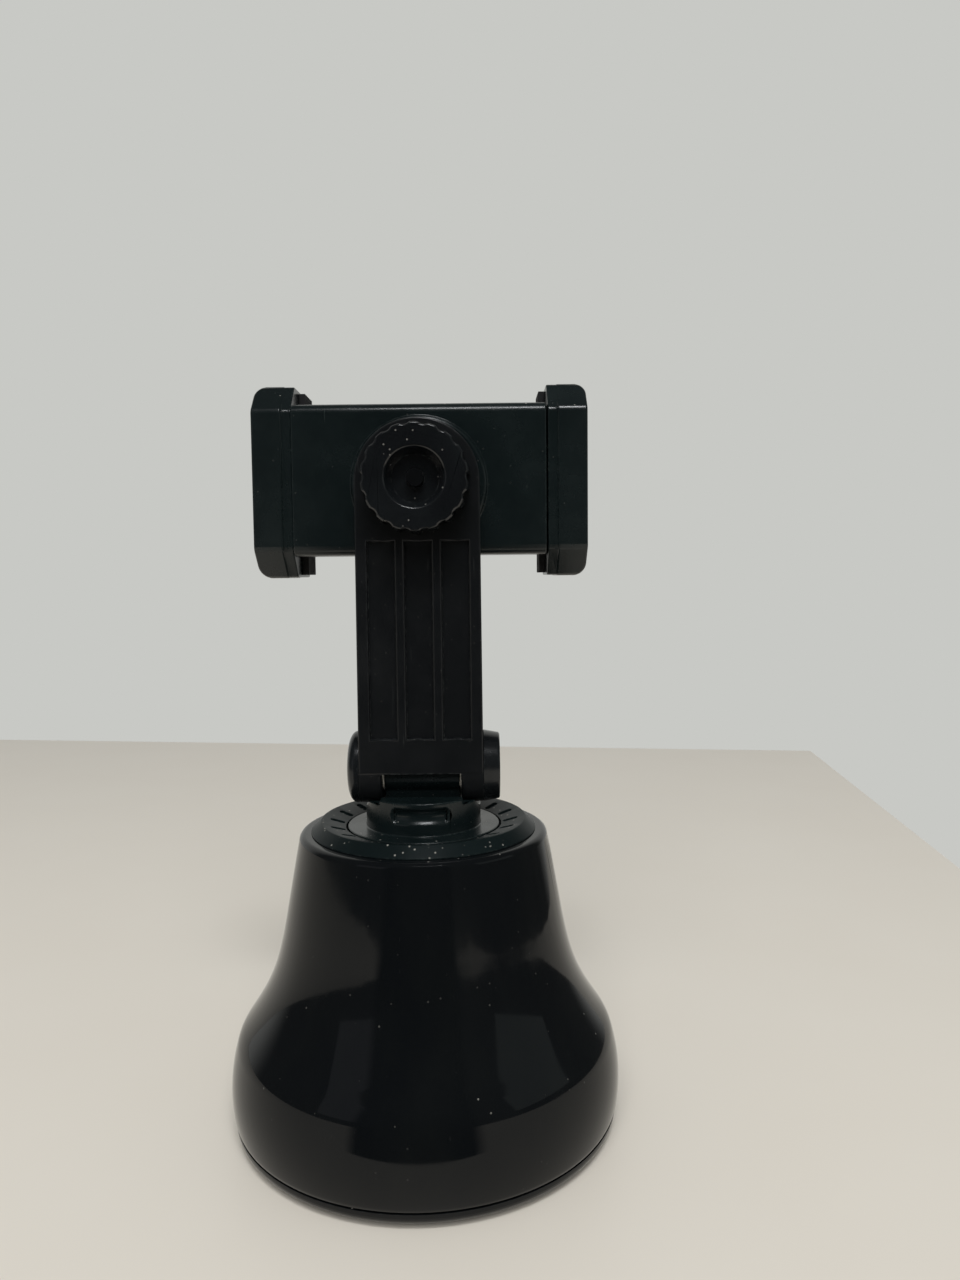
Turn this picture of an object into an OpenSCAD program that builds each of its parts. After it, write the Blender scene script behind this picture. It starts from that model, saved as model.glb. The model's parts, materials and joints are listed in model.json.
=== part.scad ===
// Free-standing phone holder: a bell base whose motor turns the head, a tilting arm and a sprung clamp.
// Millimetres, +Z up, origin on the table under the middle of the bell. The phone faces +Y, the knob -Y.

/* [Bell] */
// Widest diameter of the bell
bell_d = 95; // [92:1:110]
// Height of the bell's top edge above the table
bell_h = 71; // [66:1:85]
// Diameter of the bell below its rounded top edge
bell_top_d = 60.6; // [59.6:0.2:66]
// Wall of the bell
bell_wall = 2.2; // [1.6:0.1:2.6]
// Height of the shoulder, where the belly turns into the flare
shoulder_z = 21; // [19:0.5:25]
// Radius of the rounded top edge
top_edge_r = 1.5; // [1:0.1:2]

/* [Base] */
// Height of the rubber feet under the base plate
feet_h = 1; // [0.6:0.1:2]
// Diameter of a rubber foot
feet_d = 8; // [6:0.5:8.5]
// Thickness of the base plate
base_t = 3; // [2.8:0.1:4]
// Width of the seam between the base plate and the bell
seam = 0.3; // [0.2:0.1:0.6]
// Travel of the power switch
switch_travel = 3; // [2:0.5:4]

/* [Dial] */
// Diameter of the dial plate's raised rim
dial_d = 50; // [47:0.5:53]
// Height of the dial plate's rim above the bell's top edge
dial_h = 2.6; // [2.2:0.1:3.4]
// Marks on each side of the dial
mark_count = 5; // [3:1:7]
// Angle between two marks
mark_step = 19; // [10:1:22]
// Width of a mark
mark_w = 1.6; // [0.6:0.1:2]

/* [Turntable] */
// Diameter of the turntable's disc
disc_d = 37.2; // [34:0.2:38]
// Diameter of the drum on the disc
drum_d = 28; // [26:0.5:30]
// Height of the drum above the disc, up to the hollow under the hinge
drum_h = 4; // [3:0.5:6]
// Height of the hinge axis above the drum
hinge_rise = 10; // [9.6:0.1:14]
// Width of the hinge tongue
tongue_w = 18.2; // [16:0.2:19]
// Radius of the tongue's hinge barrel
barrel_r = 6.2; // [5.4:0.1:6.4]

/* [Arm] */
// Distance from the hinge axis to the clamp's pivot
arm_l = 68.6; // [64:0.2:90]
// Width of the arm at its round end
arm_w = 29.2; // [27:0.2:31]
// Thickness of the arm
arm_t = 7.5; // [6:0.1:8]
// Radius of the fork's knuckles
knuckle_r = 8.7; // [8.5:0.1:9]
// Width of a long groove in the arm
groove_w = 6.4; // [4:0.1:6.8]
// Width of a rib between two grooves
rib_w = 2.3; // [1.6:0.1:3]
// Depth of the grooves
groove_depth = 1.2; // [0.6:0.1:2]
// Thickness of the left, rounded hinge cap
left_cap_t = 3.1; // [2.8:0.1:4]
// Thickness of the right, flat hinge cap
right_cap_t = 4; // [3.7:0.1:6]

/* [Clamp] */
// Length of the clamp's housing
spine_l = 61.6; // [60:0.2:72]
// Height of the clamp's housing
spine_h = 36.6; // [35:0.2:44]
// Depth of the clamp's housing
spine_t = 8.4; // [8.4:0.1:12]
// Radius of the housing's long rear edges
spine_edge_r = 2.5; // [1:0.1:3.5]
// Width of a jaw, outside to housing
jaw_w = 9.6; // [9:0.2:13]
// Height of a jaw
jaw_h = 47.2; // [44:0.2:54]
// Depth of a jaw, rear face to hook
jaw_depth = 25; // [24:0.5:32]
// Travel of the sliding jaw
jaw_travel = 35; // [25:1:36]

/* [Knob] */
// Largest diameter of the knob
knob_d = 25.2; // [22:0.2:27]
// Height of the knob
knob_h = 8.5; // [7.5:0.1:11]
// Scallops round the knob
knob_scallops = 18; // [12:1:20]
// Diameter of the knob's recess at its mouth
knob_recess_d = 13.6; // [12:0.2:14.4]

/* [Drive] */
// Module of the gear teeth
gear_module = 0.7; // [0.66:0.01:0.74]
// Teeth of the gear under the turntable
drive_teeth = 36; // [34:2:38]
// Teeth of the idler's small wheel
idler_small_teeth = 12; // [12:2:14]
// Teeth of the idler's large wheel
idler_large_teeth = 24; // [22:2:24]
// Teeth of the motor's pinion
pinion_teeth = 10; // [10:2:12]
// Diameter of the motor
motor_d = 20; // [18:0.5:22]
// Length of the motor
motor_l = 18; // [14:0.5:20]
// Diameter of a battery cell
cell_d = 14.2; // [13.8:0.1:14.4]
// Length of a battery cell without its nub
cell_l = 49.2; // [48:0.1:50]

/* [Hidden] */
$fn = 64;

// Clearances
fit = 0.02;          // a piece pressed into its seat
run = 0.05;          // a shaft that turns in its bore
play = 0.3;          // pieces that pass each other
past = 1;            // how far a cut runs past the face it opens

// Colours of the finishes
gloss_black = "#101214";
satin_black = "#23282a";
rubber_black = "#1b1b1d";
inner_black = "#2c2f31";
steel = "#b9bcc0";
brass = "#c8a24b";
white_nylon = "#e8e6df";
red_wire = "#b03a2e";
green_laminate = "#2f6b46";

// Heights of the base, from the table up
bell_r = bell_d / 2;
plate_top = feet_h + base_t;
bell_z0 = plate_top + seam;
foot_edge_r = bell_r - 0.7;
rim_edge_r = bell_r - 3.3;

// The bell's outline: belly, shoulder, flare and rounded top edge
belly_low = [bell_r + 0.5, bell_z0 + 5.6];
belly_high = [bell_r + 0.1, shoulder_z - 5.6];
shoulder = [bell_r - 1.5, shoulder_z];
flare_foot = [bell_r - 3.8, shoulder_z + 4.4];
flare_top = [bell_top_d / 2, bell_h - top_edge_r];
shoulder_angle = 104;
flare_foot_angle = 125;
flare_top_angle = 101;
shoulder_handle = 1.6;
flare_foot_handle = 16;
flare_top_handle = 26;
curve_steps = 12;
bell_outline = concat(
    bezier([foot_edge_r, bell_z0], belly_low, belly_high, shoulder, curve_steps),
    bezier(shoulder, along(shoulder, shoulder_angle, shoulder_handle),
           along(flare_foot, flare_foot_angle, -shoulder_handle), flare_foot, curve_steps / 2),
    bezier(flare_foot, along(flare_foot, flare_foot_angle, flare_foot_handle),
           along(flare_top, flare_top_angle, -flare_top_handle), flare_top, 2 * curve_steps));

// Roof of the bell, with the pocket that the turntable's disc lies in
disc_r = disc_d / 2;
dial_top = bell_h + dial_h;
dial_hole_r = disc_r + 0.4;
dial_land = 1.4;
dial_foot_r = bell_top_d / 2 - top_edge_r - dial_land;
dial_foot_h = 0.3;
dial_rim_w = 0.4;
dial_dish = 1.6;
dial_inner = dial_top - dial_dish;
dial_slope = atan(dial_dish / (dial_d / 2 - dial_rim_w - dial_hole_r));
roof_t = bell_wall;
roof_under = bell_h - roof_t;
bell_inside = [for (p = inset(bell_outline, bell_wall)) if (p.y < roof_under) p];
pocket_r = dial_hole_r + 0.2;
pocket_z = bell_h - 2;
pocket_under = pocket_z - roof_t;
mark_depth = min(0.6, dial_h - dial_dish - 0.3);
mark_r = dial_hole_r + 0.5;
mark_l = (dial_d / 2 - dial_rim_w - 1.4 - mark_r) / cos(dial_slope);

// Turntable, its spindle and its hinge
disc_top = dial_inner + 0.2;
drum_r = drum_d / 2;
drum_top = disc_top + drum_h;
hinge_z = drum_top + hinge_rise;
hub_r = 6;
washer_t = 0.35;
disc_under = pocket_z + washer_t + run;
gear_t = 4;
bush_flange_t = 1.8;
bush_flange_r = 11;
bush_r = 9;
bush_bottom = pocket_under - bush_flange_t;
gear_top = bush_bottom - 0.4;
gear_bottom = gear_top - gear_t;
gear_seat_r = 4;
gear_flat = 3.2;
gear_washer_t = 0.6;
gear_washer_rim = 1.5;
gear_screw_size = [1.5, 2.8, 1.8];
gear_screw_l = 7.5;
disc_edge = 0.3;
drum_edge = 0.6;
saddle_rise = 3.8;
saddle_w = tongue_w + 1.4;
shoulder_rise = 2.8;
recess_drop = 3.1;
web_clear = 0.5;
swing_r = knuckle_r + web_clear;
saddle_top = drum_top + saddle_rise;
shoulder_top = drum_top + shoulder_rise;
neck_t = 6.6;
recess_w = 14.5;
recess_h = 3.8;
recess_depth = 0.9;
bolt_r = 2;

// Arm
fork_gap = tongue_w + 2 * (washer_t + run);
arm_foot_w = arm_w + 0.4;
arm_front = -knuckle_r;
arm_back = arm_front + arm_t;
pivot_z = hinge_z + arm_l;
web_edge = 0.3;
groove_pitch = groove_w + rib_w;
groove_foot = hinge_z + 8;
groove_head = pivot_z - arm_w / 2 + 0.6;
cap_wall = 0.8;
dome_h = 2;
dome_w = 3.4;
cap_draft = 0.6;
cap_edge = 0.6;
bolt_head_r = 3.6;
bolt_head_h = left_cap_t - cap_wall;
bolt_socket_r = 1.6;
bolt_socket_h = 1.5;
barrel_room = 0.4;
nut_r = 4;
nut_h = 2.6;

// Clamp, with y counted from the knob's side to the phone's
stud_r = 2;
swivel_t = 0.7;
boss_h = 1;
boss_r = arm_w / 2 + 1.8;
clamp_rise = 1.3;
clamp_z = pivot_z + clamp_rise;
boss_front = arm_back + swivel_t + 2 * run;
spine_rear = boss_front + boss_h;
spine_front = spine_rear + spine_t;
spine_wall = 1.8;
spine_end = spine_l / 2;
end_wall = 2;
cover_t = 1.6;
cover_front = spine_front + cover_t;
back_pad_t = 1.4;
back_pad_front = cover_front + back_pad_t;
stud_head_r = 4.5;
stud_head_h = 1.8;
stud_end = 2.2;
tongue_rear = spine_rear + spine_wall + stud_head_h + 0.4;
tongue_t = 2.8;
tongue_front = tongue_rear + tongue_t;
jaw_tongue_h = 16;
jaw_gap = 0.4;
jaw_chamfer = 6.5;
jaw_rear_drop = 1.5;
jaw_corner = 3.5;
jaw_side_r = 3;
jaw_step_w = 2.3;
jaw_step = 0.15;
jaw_step_rear = 0.5;
hook_t = 3.4;
hook_in = 2.8;
hook_h = 34;
jaw_front = spine_rear + jaw_depth;
pad_t = 1.6;
pad_inset = 0.8;
pad_h = jaw_h - 2 * pad_inset;
tenon_l = 7;
ear_t = 2.5;
ear_h = 7.2;
ear_left = -spine_end + end_wall + tenon_l;
spring_r = 2.4;
spring_wire = 0.5;
spring_z = jaw_tongue_h / 2 + 4.6;
spring_y = (tongue_rear + tongue_front) / 2;
post_r = 2.2;
post_x = spine_end - end_wall - 1.6;
post_z = spine_h / 2 - spine_wall - 2.4;
stop_t = 1;
stop_x = post_x - post_r - stop_t;
rail_t = 1.4;
rail_l = 12;
cover_screw_l = 6;
seat_h = 3;
seat_at = 4.4;
pad_margin_x = 3;
pad_margin_z = 4;
pad_gap = 0.5;

// Knob
knob_r = knob_d / 2;
knob_seat = arm_front - play;
knob_nut_r = 4.05;
knob_nut_h = 3.4;
knob_floor = 4.4;
stud_tip = knob_seat - knob_floor - stud_end;
knob_recess_r = knob_recess_d / 2;
knob_recess_taper = 1.3;
knob_crown = 0.8;
knob_taper = 0.6;
scallop_r = 2;
scallop_depth = 0.9;

// Drive train, hung under the roof
plate_t = 2.5;
wheel_t = 3.6;
idler_foot = 2.2;
idler_small_z = gear_bottom - 0.8;
idler_large_z = idler_small_z - wheel_t;
idler_z = idler_large_z - idler_foot;
idler_top = gear_top + play;
gear_plate_top = idler_z - play;
gear_plate_z = gear_plate_top - plate_t;
idler_x = gear_module * (drive_teeth + idler_small_teeth) / 2;
pinion_offset = gear_module * (idler_large_teeth + pinion_teeth) / 2;
pinion_angle = 130;
pinion_x = idler_x + pinion_offset * cos(pinion_angle);
pinion_y = pinion_offset * sin(pinion_angle);
axle_r = 1.5;
shaft_r = 1;
motor_z = gear_plate_z - motor_l;
motor_boss_r = 3;
motor_screw_offset = 6.5;
motor_screw_l = 3.5;
gear_plate_r = bell_top_d / 2 - 2.7;
plate_post_r = 3;
plate_post_at = pocket_r + roof_t + plate_post_r + 0.1;
plate_post_angles = [60, 180, 300];
post_screw_l = 7;
idler_hub_wall = 1.5;
pinion_over = 0.2;
pressure_angle = 25;
tooth_top = 0.85;
tooth_root = 1.1;
backlash = 0.14;

// Battery bay, board and switch on the base plate
cell_r = cell_d / 2;
cell_gap = 0.8;
cell_pitch = cell_d + cell_gap;
nub_r = 2.75;
nub_l = 1.3;
contact_t = 0.4;
cell_spring_l = 5;
cell_spring_r = 4;
cell_spring_wire = 0.8;
bay_l = cell_l + nub_l + cell_spring_l + 2 * contact_t;
bay_w = 3 * cell_pitch;
bay_wall = 1.6;
door_ledge = 2;
door_t = 1.5;
door_recess = door_t + 0.1;
door_boss_r = 3;
door_boss_h = 5;
door_head_h = 1;
pull_l = 10;
pull_w = 1;
pull_depth = 0.4;
pull_pitch = 2.4;
pull_at = 8;
door_gap = 0.25;
door_ear_l = 7;
door_ear_w = 12;
door_screw_x = bay_l / 2 + door_ledge + door_ear_l / 2;
cell_z = feet_h + door_recess + play + cell_r;
bay_top = cell_z + cell_r + play;
box_top = bay_top + bay_wall;
board_gap = 3;
board_t = 1.6;
board_z = box_top + board_gap;
board_l = bay_l + 2;
board_w = 30;
board_screw_x = 22;
board_screw_y = 11;
board_post_r = 2.4;
chip_size = [9, 9, 1.2];
chip_at = [-18, -6];
driver_size = [6, 4, 1.6];
driver_at = [-4, -13];
can_r = 2.5;
can_h = 5;
can_at = [-26, 6];
screw_spare = 0.5;
lead_r = 0.6;
contact_w = cell_pitch - 2;
contact_h = 12;
lead_x = bay_l / 2 - contact_t - lead_r - run;
lead_inset = 0.8;
lead_y = cell_pitch - contact_w / 2 + lead_inset;
motor_lead_offset = 4;
base_boss_r = 3.4;
base_boss_h = 14;
base_boss_gap = 0.5;
base_screw_at = bell_r - 7.5;
base_screw_angle = 30;
base_screw_turn = min(base_screw_angle,
                      acos((bay_l / 2 + bay_wall + base_boss_gap + base_boss_r) / base_screw_at));
base_screw_angles = [base_screw_turn, 180 - base_screw_turn, 180 + base_screw_turn, -base_screw_turn];
base_screw_spare = 3;
feet_at = bell_r - 8;
feet_angle = 55;
feet_web = 0.6;
feet_turn = max(feet_angle, asin((bay_w / 2 + door_ledge + door_gap + feet_web + feet_d / 2) / feet_at));
feet_angles = [feet_turn, 180 - feet_turn, 180 + feet_turn, -feet_turn];
feet_sunk = 0.8;
lip_t = 1.5;
lip_h = 3;
lip_r = foot_edge_r - bell_wall - play;
switch_w = 8;
switch_rim = 2.5;
switch_h = 6;
switch_gap = 2.2;
switch_y = -(bay_w / 2 + bay_wall + switch_gap + switch_w / 2);
nub_w = 2.6;
nub_len = 3.6;
slider_w = 4.4;
slider_l = 6;
switch_l = slider_l + switch_travel + 2 * switch_rim;
slider_t = 1.2;
slider_gap = 0.1;
nub_sunk = 0.4;

// Screws: shank radius, head radius, head height
small_screw = [1, 1.9, 1.3];
case_screw = [1.2, 2.4, 1.5];

// A cubic curve between two points, with its two handles
function bezier(a, b, c, d, n) = [for (i = [0 : n - 1]) let (t = i / n, s = 1 - t)
    s * s * s * a + 3 * s * s * t * b + 3 * s * t * t * c + t * t * t * d];

// The point at a distance from p in the direction of an angle
function along(p, angle, distance) = p + distance * [cos(angle), sin(angle)];

// An outline that runs upwards, moved inwards by a wall
function inset(points, wall) = [for (i = [0 : len(points) - 1])
    let (a = points[max(i - 1, 0)], b = points[min(i + 1, len(points) - 1)], d = (b - a) / norm(b - a))
    points[i] + wall * [-d.y, d.x]];

// Points on an arc
function arc(centre, r, from, to, n) = [for (i = [0 : n])
    centre + r * [cos(from + (to - from) * i / n), sin(from + (to - from) * i / n)]];

// Involute teeth: the half angle of a tooth at radius r, and the outline of a whole wheel
function involute(angle) = tan(angle) * 180 / PI - angle;
function tooth_half(r, teeth) = let (
        pitch_r = gear_module * teeth / 2,
        base_r = pitch_r * cos(pressure_angle))
    90 / teeth - backlash / 4 / pitch_r * 180 / PI + involute(pressure_angle)
    - involute(acos(min(1, base_r / r)));
function wheel(teeth) = let (
        pitch_r = gear_module * teeth / 2,
        root_r = pitch_r - tooth_root * gear_module,
        start_r = max(root_r, pitch_r * cos(pressure_angle)),
        tip_r = pitch_r + tooth_top * gear_module,
        radii = concat([root_r], [for (k = [0 : 4]) start_r + (tip_r - start_r) * max(k, 0.05) / 4]))
    [for (i = [0 : teeth - 1], side = [-1, 1], k = [0 : 5])
        let (r = radii[side < 0 ? k : 5 - k],
             angle = 360 * i / teeth + side * tooth_half(max(r, start_r), teeth))
        r * [cos(angle), sin(angle)]];

// Lays a drawing in the YZ plane and extrudes it along X from x0
module along_x(x0, length) {
    translate([x0, 0, 0]) rotate([90, 0, 90]) linear_extrude(length) children();
}

// A rod along X or along Y
module rod_x(x0, length, r) {
    translate([x0, 0, 0]) rotate([0, 90, 0]) cylinder(r = r, h = length);
}
module rod_y(y0, length, r) {
    translate([0, y0, 0]) rotate([-90, 0, 0]) cylinder(r = r, h = length);
}

// A screw that points up: its shank starts at z = 0 and its head, with a cross recess, lies below
module screw(size, length) {
    slot = size[1] / 3;
    cylinder(r = size[0], h = length);
    translate([0, 0, -size[2]]) difference() {
        cylinder(r = size[1], h = size[2]);
        for (turn = [0, 90]) rotate(turn) translate([-size[1] * 0.7, -slot / 2, -past])
            cube([size[1] * 1.4, slot, past + size[2] / 2]);
    }
}

// Puts its children at each angle of a circle
module around(angles, r) {
    for (angle = angles) rotate(angle) translate([r, 0, 0]) children();
}

module bell_shell() {
    color(gloss_black) difference() {
        union() {
            rotate_extrude() polygon(concat(
                bell_outline,
                arc([flare_top.x - top_edge_r, flare_top.y], top_edge_r, 0, 90, 6),
                [[pocket_r, bell_h], [pocket_r, pocket_z], [bush_r + fit, pocket_z],
                 [bush_r + fit, pocket_under], [pocket_r + roof_t, pocket_under],
                 [pocket_r + roof_t, roof_under]],
                [[bell_inside[len(bell_inside) - 1].x, roof_under]],
                [for (i = [len(bell_inside) - 1 : -1 : 0]) bell_inside[i]]));
            around(base_screw_angles, base_screw_at) bell_boss();
            around(plate_post_angles, plate_post_at) translate([0, 0, gear_plate_top])
                cylinder(r = plate_post_r, h = roof_under - gear_plate_top + fit);
        }
        around(base_screw_angles, base_screw_at) translate([0, 0, plate_top - past])
            cylinder(r = case_screw[0] + fit, h = base_boss_h - base_screw_spare + screw_spare + past);
        around(plate_post_angles, plate_post_at) translate([0, 0, gear_plate_top - past])
            cylinder(r = small_screw[0] + fit, h = post_screw_l + screw_spare + past);
    }
}

// A screw boss inside the bell, with the rib that ties it to the wall
module bell_boss() {
    rib_w = base_boss_r;
    translate([0, 0, plate_top]) cylinder(r = base_boss_r, h = base_boss_h);
    translate([0, -rib_w / 2, bell_z0])
        cube([foot_edge_r - bell_wall + 0.6 - base_screw_at, rib_w, base_boss_h - seam]);
}

module dial_plate() {
    color(satin_black) difference() {
        rotate_extrude() polygon([[dial_hole_r, bell_h], [dial_foot_r, bell_h],
                                  [dial_foot_r, bell_h + dial_foot_h], [dial_d / 2, dial_top],
                                  [dial_d / 2 - dial_rim_w, dial_top], [dial_hole_r, dial_inner]]);
        for (side = [0, 180], i = [0 : mark_count - 1])
            rotate(side + (i - (mark_count - 1) / 2) * mark_step)
                translate([mark_r, 0, dial_inner + (mark_r - dial_hole_r) * tan(dial_slope)])
                    rotate([0, -dial_slope, 0]) translate([0, -mark_w / 2, -mark_depth])
                        cube([mark_l, mark_w, mark_depth + past]);
    }
}

// The outline of the battery door, grown by a gap
module door_outline(gap) {
    l = bay_l + 2 * door_ledge + 2 * gap;
    w = bay_w + 2 * door_ledge + 2 * gap;
    square([l, w], center = true);
    translate([l / 2 - past, -door_ear_w / 2 - gap]) square([door_ear_l + past, door_ear_w + 2 * gap]);
}

module base_plate() {
    color(gloss_black) difference() {
        union() {
            rotate_extrude() polygon(concat(
                [[0, feet_h]],
                bezier([rim_edge_r, feet_h], [rim_edge_r + 1.4, feet_h], [foot_edge_r - 0.1, feet_h + 1.2],
                       [foot_edge_r - 0.1, plate_top - 0.4], 8),
                [[foot_edge_r - 0.1, plate_top - 0.4], [foot_edge_r - 0.1, plate_top], [0, plate_top]]));
            difference() {
                translate([0, 0, plate_top - fit]) cylinder(r = lip_r, h = lip_h);
                translate([0, 0, plate_top - past]) cylinder(r = lip_r - lip_t, h = lip_h + 2 * past);
                for (angle = base_screw_angles) rotate(angle)
                    translate([0, -base_boss_r - play, plate_top])
                        cube([bell_r, 2 * (base_boss_r + play), lip_h]);
            }
            translate([door_screw_x, 0, plate_top - fit]) cylinder(r = door_boss_r, h = door_boss_h);
        }
        translate([0, 0, feet_h - past]) linear_extrude(door_recess + past) door_outline(door_gap);
        translate([0, 0, plate_top / 2]) cube([bay_l, bay_w, plate_top + past], center = true);
        translate([door_screw_x, 0, feet_h])
            cylinder(r = small_screw[0] + fit, h = base_t + door_head_h + door_boss_h / 2);
        around(base_screw_angles, base_screw_at) translate([0, 0, feet_h - past]) {
            cylinder(r = case_screw[0] + fit, h = base_t + 2 * past);
            cylinder(r = case_screw[1] + fit, h = case_screw[2] + past);
        }
        around(feet_angles, feet_at) translate([0, 0, feet_h - past])
            cylinder(r = feet_d / 2 + fit, h = feet_sunk + past);
        translate([-(nub_len + switch_travel) / 2 - play, switch_y - nub_w / 2 - play, feet_h - past])
            cube([nub_len + switch_travel + 2 * play, nub_w + 2 * play, base_t + 2 * past]);
    }
}

module rubber_feet() {
    edge = feet_h / 4;
    color(rubber_black) around(feet_angles, feet_at) rotate_extrude()
        polygon([[0, 0], [feet_d / 2 - edge, 0], [feet_d / 2, edge], [feet_d / 2, feet_h + feet_sunk],
                 [0, feet_h + feet_sunk]]);
}

module base_screws() {
    color(steel) around(base_screw_angles, base_screw_at) translate([0, 0, feet_h + case_screw[2]])
        screw(case_screw, base_t - case_screw[2] + base_boss_h - base_screw_spare);
}

module battery_door() {
    color(inner_black) difference() {
        translate([0, 0, feet_h]) linear_extrude(door_t) door_outline(0);
        translate([door_screw_x, 0, feet_h - past]) cylinder(r = small_screw[0] + fit, h = door_t + 2 * past);
        translate([door_screw_x, 0, feet_h - past])
            cylinder(r = small_screw[1] + fit, h = door_head_h + past);
        for (i = [-2 : 2]) translate([-bay_l / 2 + pull_at, i * pull_pitch - pull_w / 2, feet_h - past])
            cube([pull_l, pull_w, pull_depth + past]);
    }
}

module battery_door_screw() {
    color(steel) translate([door_screw_x, 0, feet_h + door_head_h])
        screw([small_screw[0], small_screw[1], door_head_h], base_t + door_head_h);
}

module battery_box() {
    color(inner_black) difference() {
        union() {
            translate([-bay_l / 2 - bay_wall, -bay_w / 2 - bay_wall, plate_top])
                cube([bay_l + 2 * bay_wall, bay_w + 2 * bay_wall, box_top - plate_top]);
            for (x = [-1, 1], y = [-1, 1]) translate([x * board_screw_x, y * board_screw_y, box_top - fit])
                cylinder(r = board_post_r, h = board_gap + fit);
        }
        translate([-bay_l / 2, -bay_w / 2, plate_top - past])
            cube([bay_l, bay_w, bay_top - plate_top + past]);
        for (x = [-1, 1], y = [-1, 1]) translate([x * board_screw_x, y * board_screw_y, box_top])
            cylinder(r = small_screw[0] + fit, h = board_gap + past);
        for (x = [-1, 1]) translate([x * lead_x, -lead_y, bay_top - past])
            cylinder(r = lead_r + run, h = bay_wall + 2 * past);
    }
}

// One cell along X, its nub towards +X
module cell() {
    rod_x(-cell_l / 2 - nub_l / 2 + cell_spring_l / 2, cell_l, cell_r);
    rod_x(cell_l / 2 - nub_l / 2 + cell_spring_l / 2 - fit, nub_l + fit, nub_r);
}

// Puts its children on each cell's axis, turned end for end from one cell to the next
module each_cell() {
    for (i = [-1 : 1]) translate([0, i * cell_pitch, cell_z]) rotate(i == 0 ? 180 : 0) children();
}

module battery_cells() {
    color(brass) each_cell() cell();
}

module battery_springs() {
    color(steel) each_cell() difference() {
        rod_x(-bay_l / 2 + contact_t, cell_spring_l, cell_spring_r);
        rod_x(-bay_l / 2 - past, cell_spring_l + 3 * past, cell_spring_r - cell_spring_wire);
    }
}

module battery_contacts() {
    color(steel) each_cell() for (end = [-1, 1])
        translate([end * (bay_l - contact_t) / 2, 0, 0])
            cube([contact_t, contact_w, contact_h], center = true);
}

module battery_leads() {
    color(red_wire) for (x = [-1, 1]) translate([x * lead_x, -lead_y, cell_z])
        cylinder(r = lead_r, h = board_z - cell_z);
}

module circuit_board() {
    color(green_laminate) difference() {
        union() {
            translate([-board_l / 2, -board_w / 2, board_z]) cube([board_l, board_w, board_t]);
            translate([0, 0, board_z + board_t - fit]) {
                translate(chip_at) cube(chip_size);
                translate(driver_at) cube(driver_size);
                translate(can_at) cylinder(r = can_r, h = can_h);
            }
        }
        for (x = [-1, 1], y = [-1, 1]) translate([x * board_screw_x, y * board_screw_y, board_z - past])
            cylinder(r = small_screw[0] + fit, h = board_t + 2 * past);
    }
}

module board_screws() {
    color(steel) for (x = [-1, 1], y = [-1, 1])
        translate([x * board_screw_x, y * board_screw_y, board_z + board_t]) mirror([0, 0, 1])
            screw(small_screw, board_t + board_gap - screw_spare);
}

module motor_leads() {
    color(red_wire) for (side = [-1, 1])
        translate([pinion_x + side * motor_lead_offset, pinion_y, board_z + board_t])
            cylinder(r = lead_r, h = motor_z - board_z - board_t);
}

module drive_motor() {
    color(steel) translate([pinion_x, pinion_y, motor_z]) difference() {
        union() {
            cylinder(d = motor_d, h = motor_l);
            cylinder(r = motor_boss_r, h = motor_l + plate_t - screw_spare);
        }
        translate([0, 0, motor_l / 3]) cylinder(r = shaft_r + run, h = motor_l + plate_t);
        for (side = [-1, 1]) translate([side * motor_screw_offset, 0, motor_l - motor_screw_l - screw_spare])
            cylinder(r = small_screw[0] + fit, h = motor_screw_l + screw_spare + past);
    }
}

module motor_screws() {
    color(steel) for (side = [-1, 1])
        translate([pinion_x + side * motor_screw_offset, pinion_y, gear_plate_top])
            mirror([0, 0, 1]) screw(small_screw, plate_t + motor_screw_l);
}

module gear_plate() {
    color(inner_black) translate([0, 0, gear_plate_z]) difference() {
        cylinder(r = gear_plate_r, h = plate_t);
        translate([idler_x, 0, -past]) cylinder(r = axle_r + fit, h = plate_t + 2 * past);
        translate([pinion_x, pinion_y, -past]) cylinder(r = motor_boss_r + fit, h = plate_t + 2 * past);
        for (side = [-1, 1]) translate([pinion_x + side * motor_screw_offset, pinion_y, -past])
            cylinder(r = small_screw[0] + fit, h = plate_t + 2 * past);
        around(plate_post_angles, plate_post_at) translate([0, 0, -past])
            cylinder(r = small_screw[0] + fit, h = plate_t + 2 * past);
    }
}

module gear_plate_screws() {
    color(steel) around(plate_post_angles, plate_post_at) translate([0, 0, gear_plate_z])
        screw(small_screw, plate_t + post_screw_l);
}

module idler_axle() {
    color(steel) translate([idler_x, 0, gear_plate_z])
        cylinder(r = axle_r, h = idler_top + play - gear_plate_z);
}

module spindle_bush() {
    color(white_nylon) rotate_extrude()
        polygon([[hub_r + run, bush_bottom], [bush_flange_r, bush_bottom], [bush_flange_r, pocket_under],
                 [bush_r, pocket_under], [bush_r, pocket_z], [hub_r + run, pocket_z]]);
}

module thrust_washer() {
    color(white_nylon) translate([0, 0, pocket_z]) difference() {
        cylinder(r = disc_r - 1, h = washer_t);
        translate([0, 0, -past]) cylinder(r = bush_r + 0.6, h = washer_t + 2 * past);
    }
}

module switch_body() {
    color(inner_black) difference() {
        translate([-switch_l / 2, switch_y - switch_w / 2, plate_top]) cube([switch_l, switch_w, switch_h]);
        translate([-(slider_l + switch_travel) / 2 - play, switch_y - slider_w / 2 - play, plate_top - past])
            cube([slider_l + switch_travel + 2 * play, slider_w + 2 * play,
                  past + slider_t + 2 * slider_gap + play]);
    }
}

module switch_slider() {
    color(satin_black) translate([-switch_travel / 2, switch_y, 0]) {
        translate([-slider_l / 2, -slider_w / 2, plate_top + slider_gap])
            cube([slider_l, slider_w, slider_t]);
        translate([-nub_len / 2, -nub_w / 2, feet_h + nub_sunk]) cube([nub_len, nub_w, base_t]);
    }
}

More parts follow.
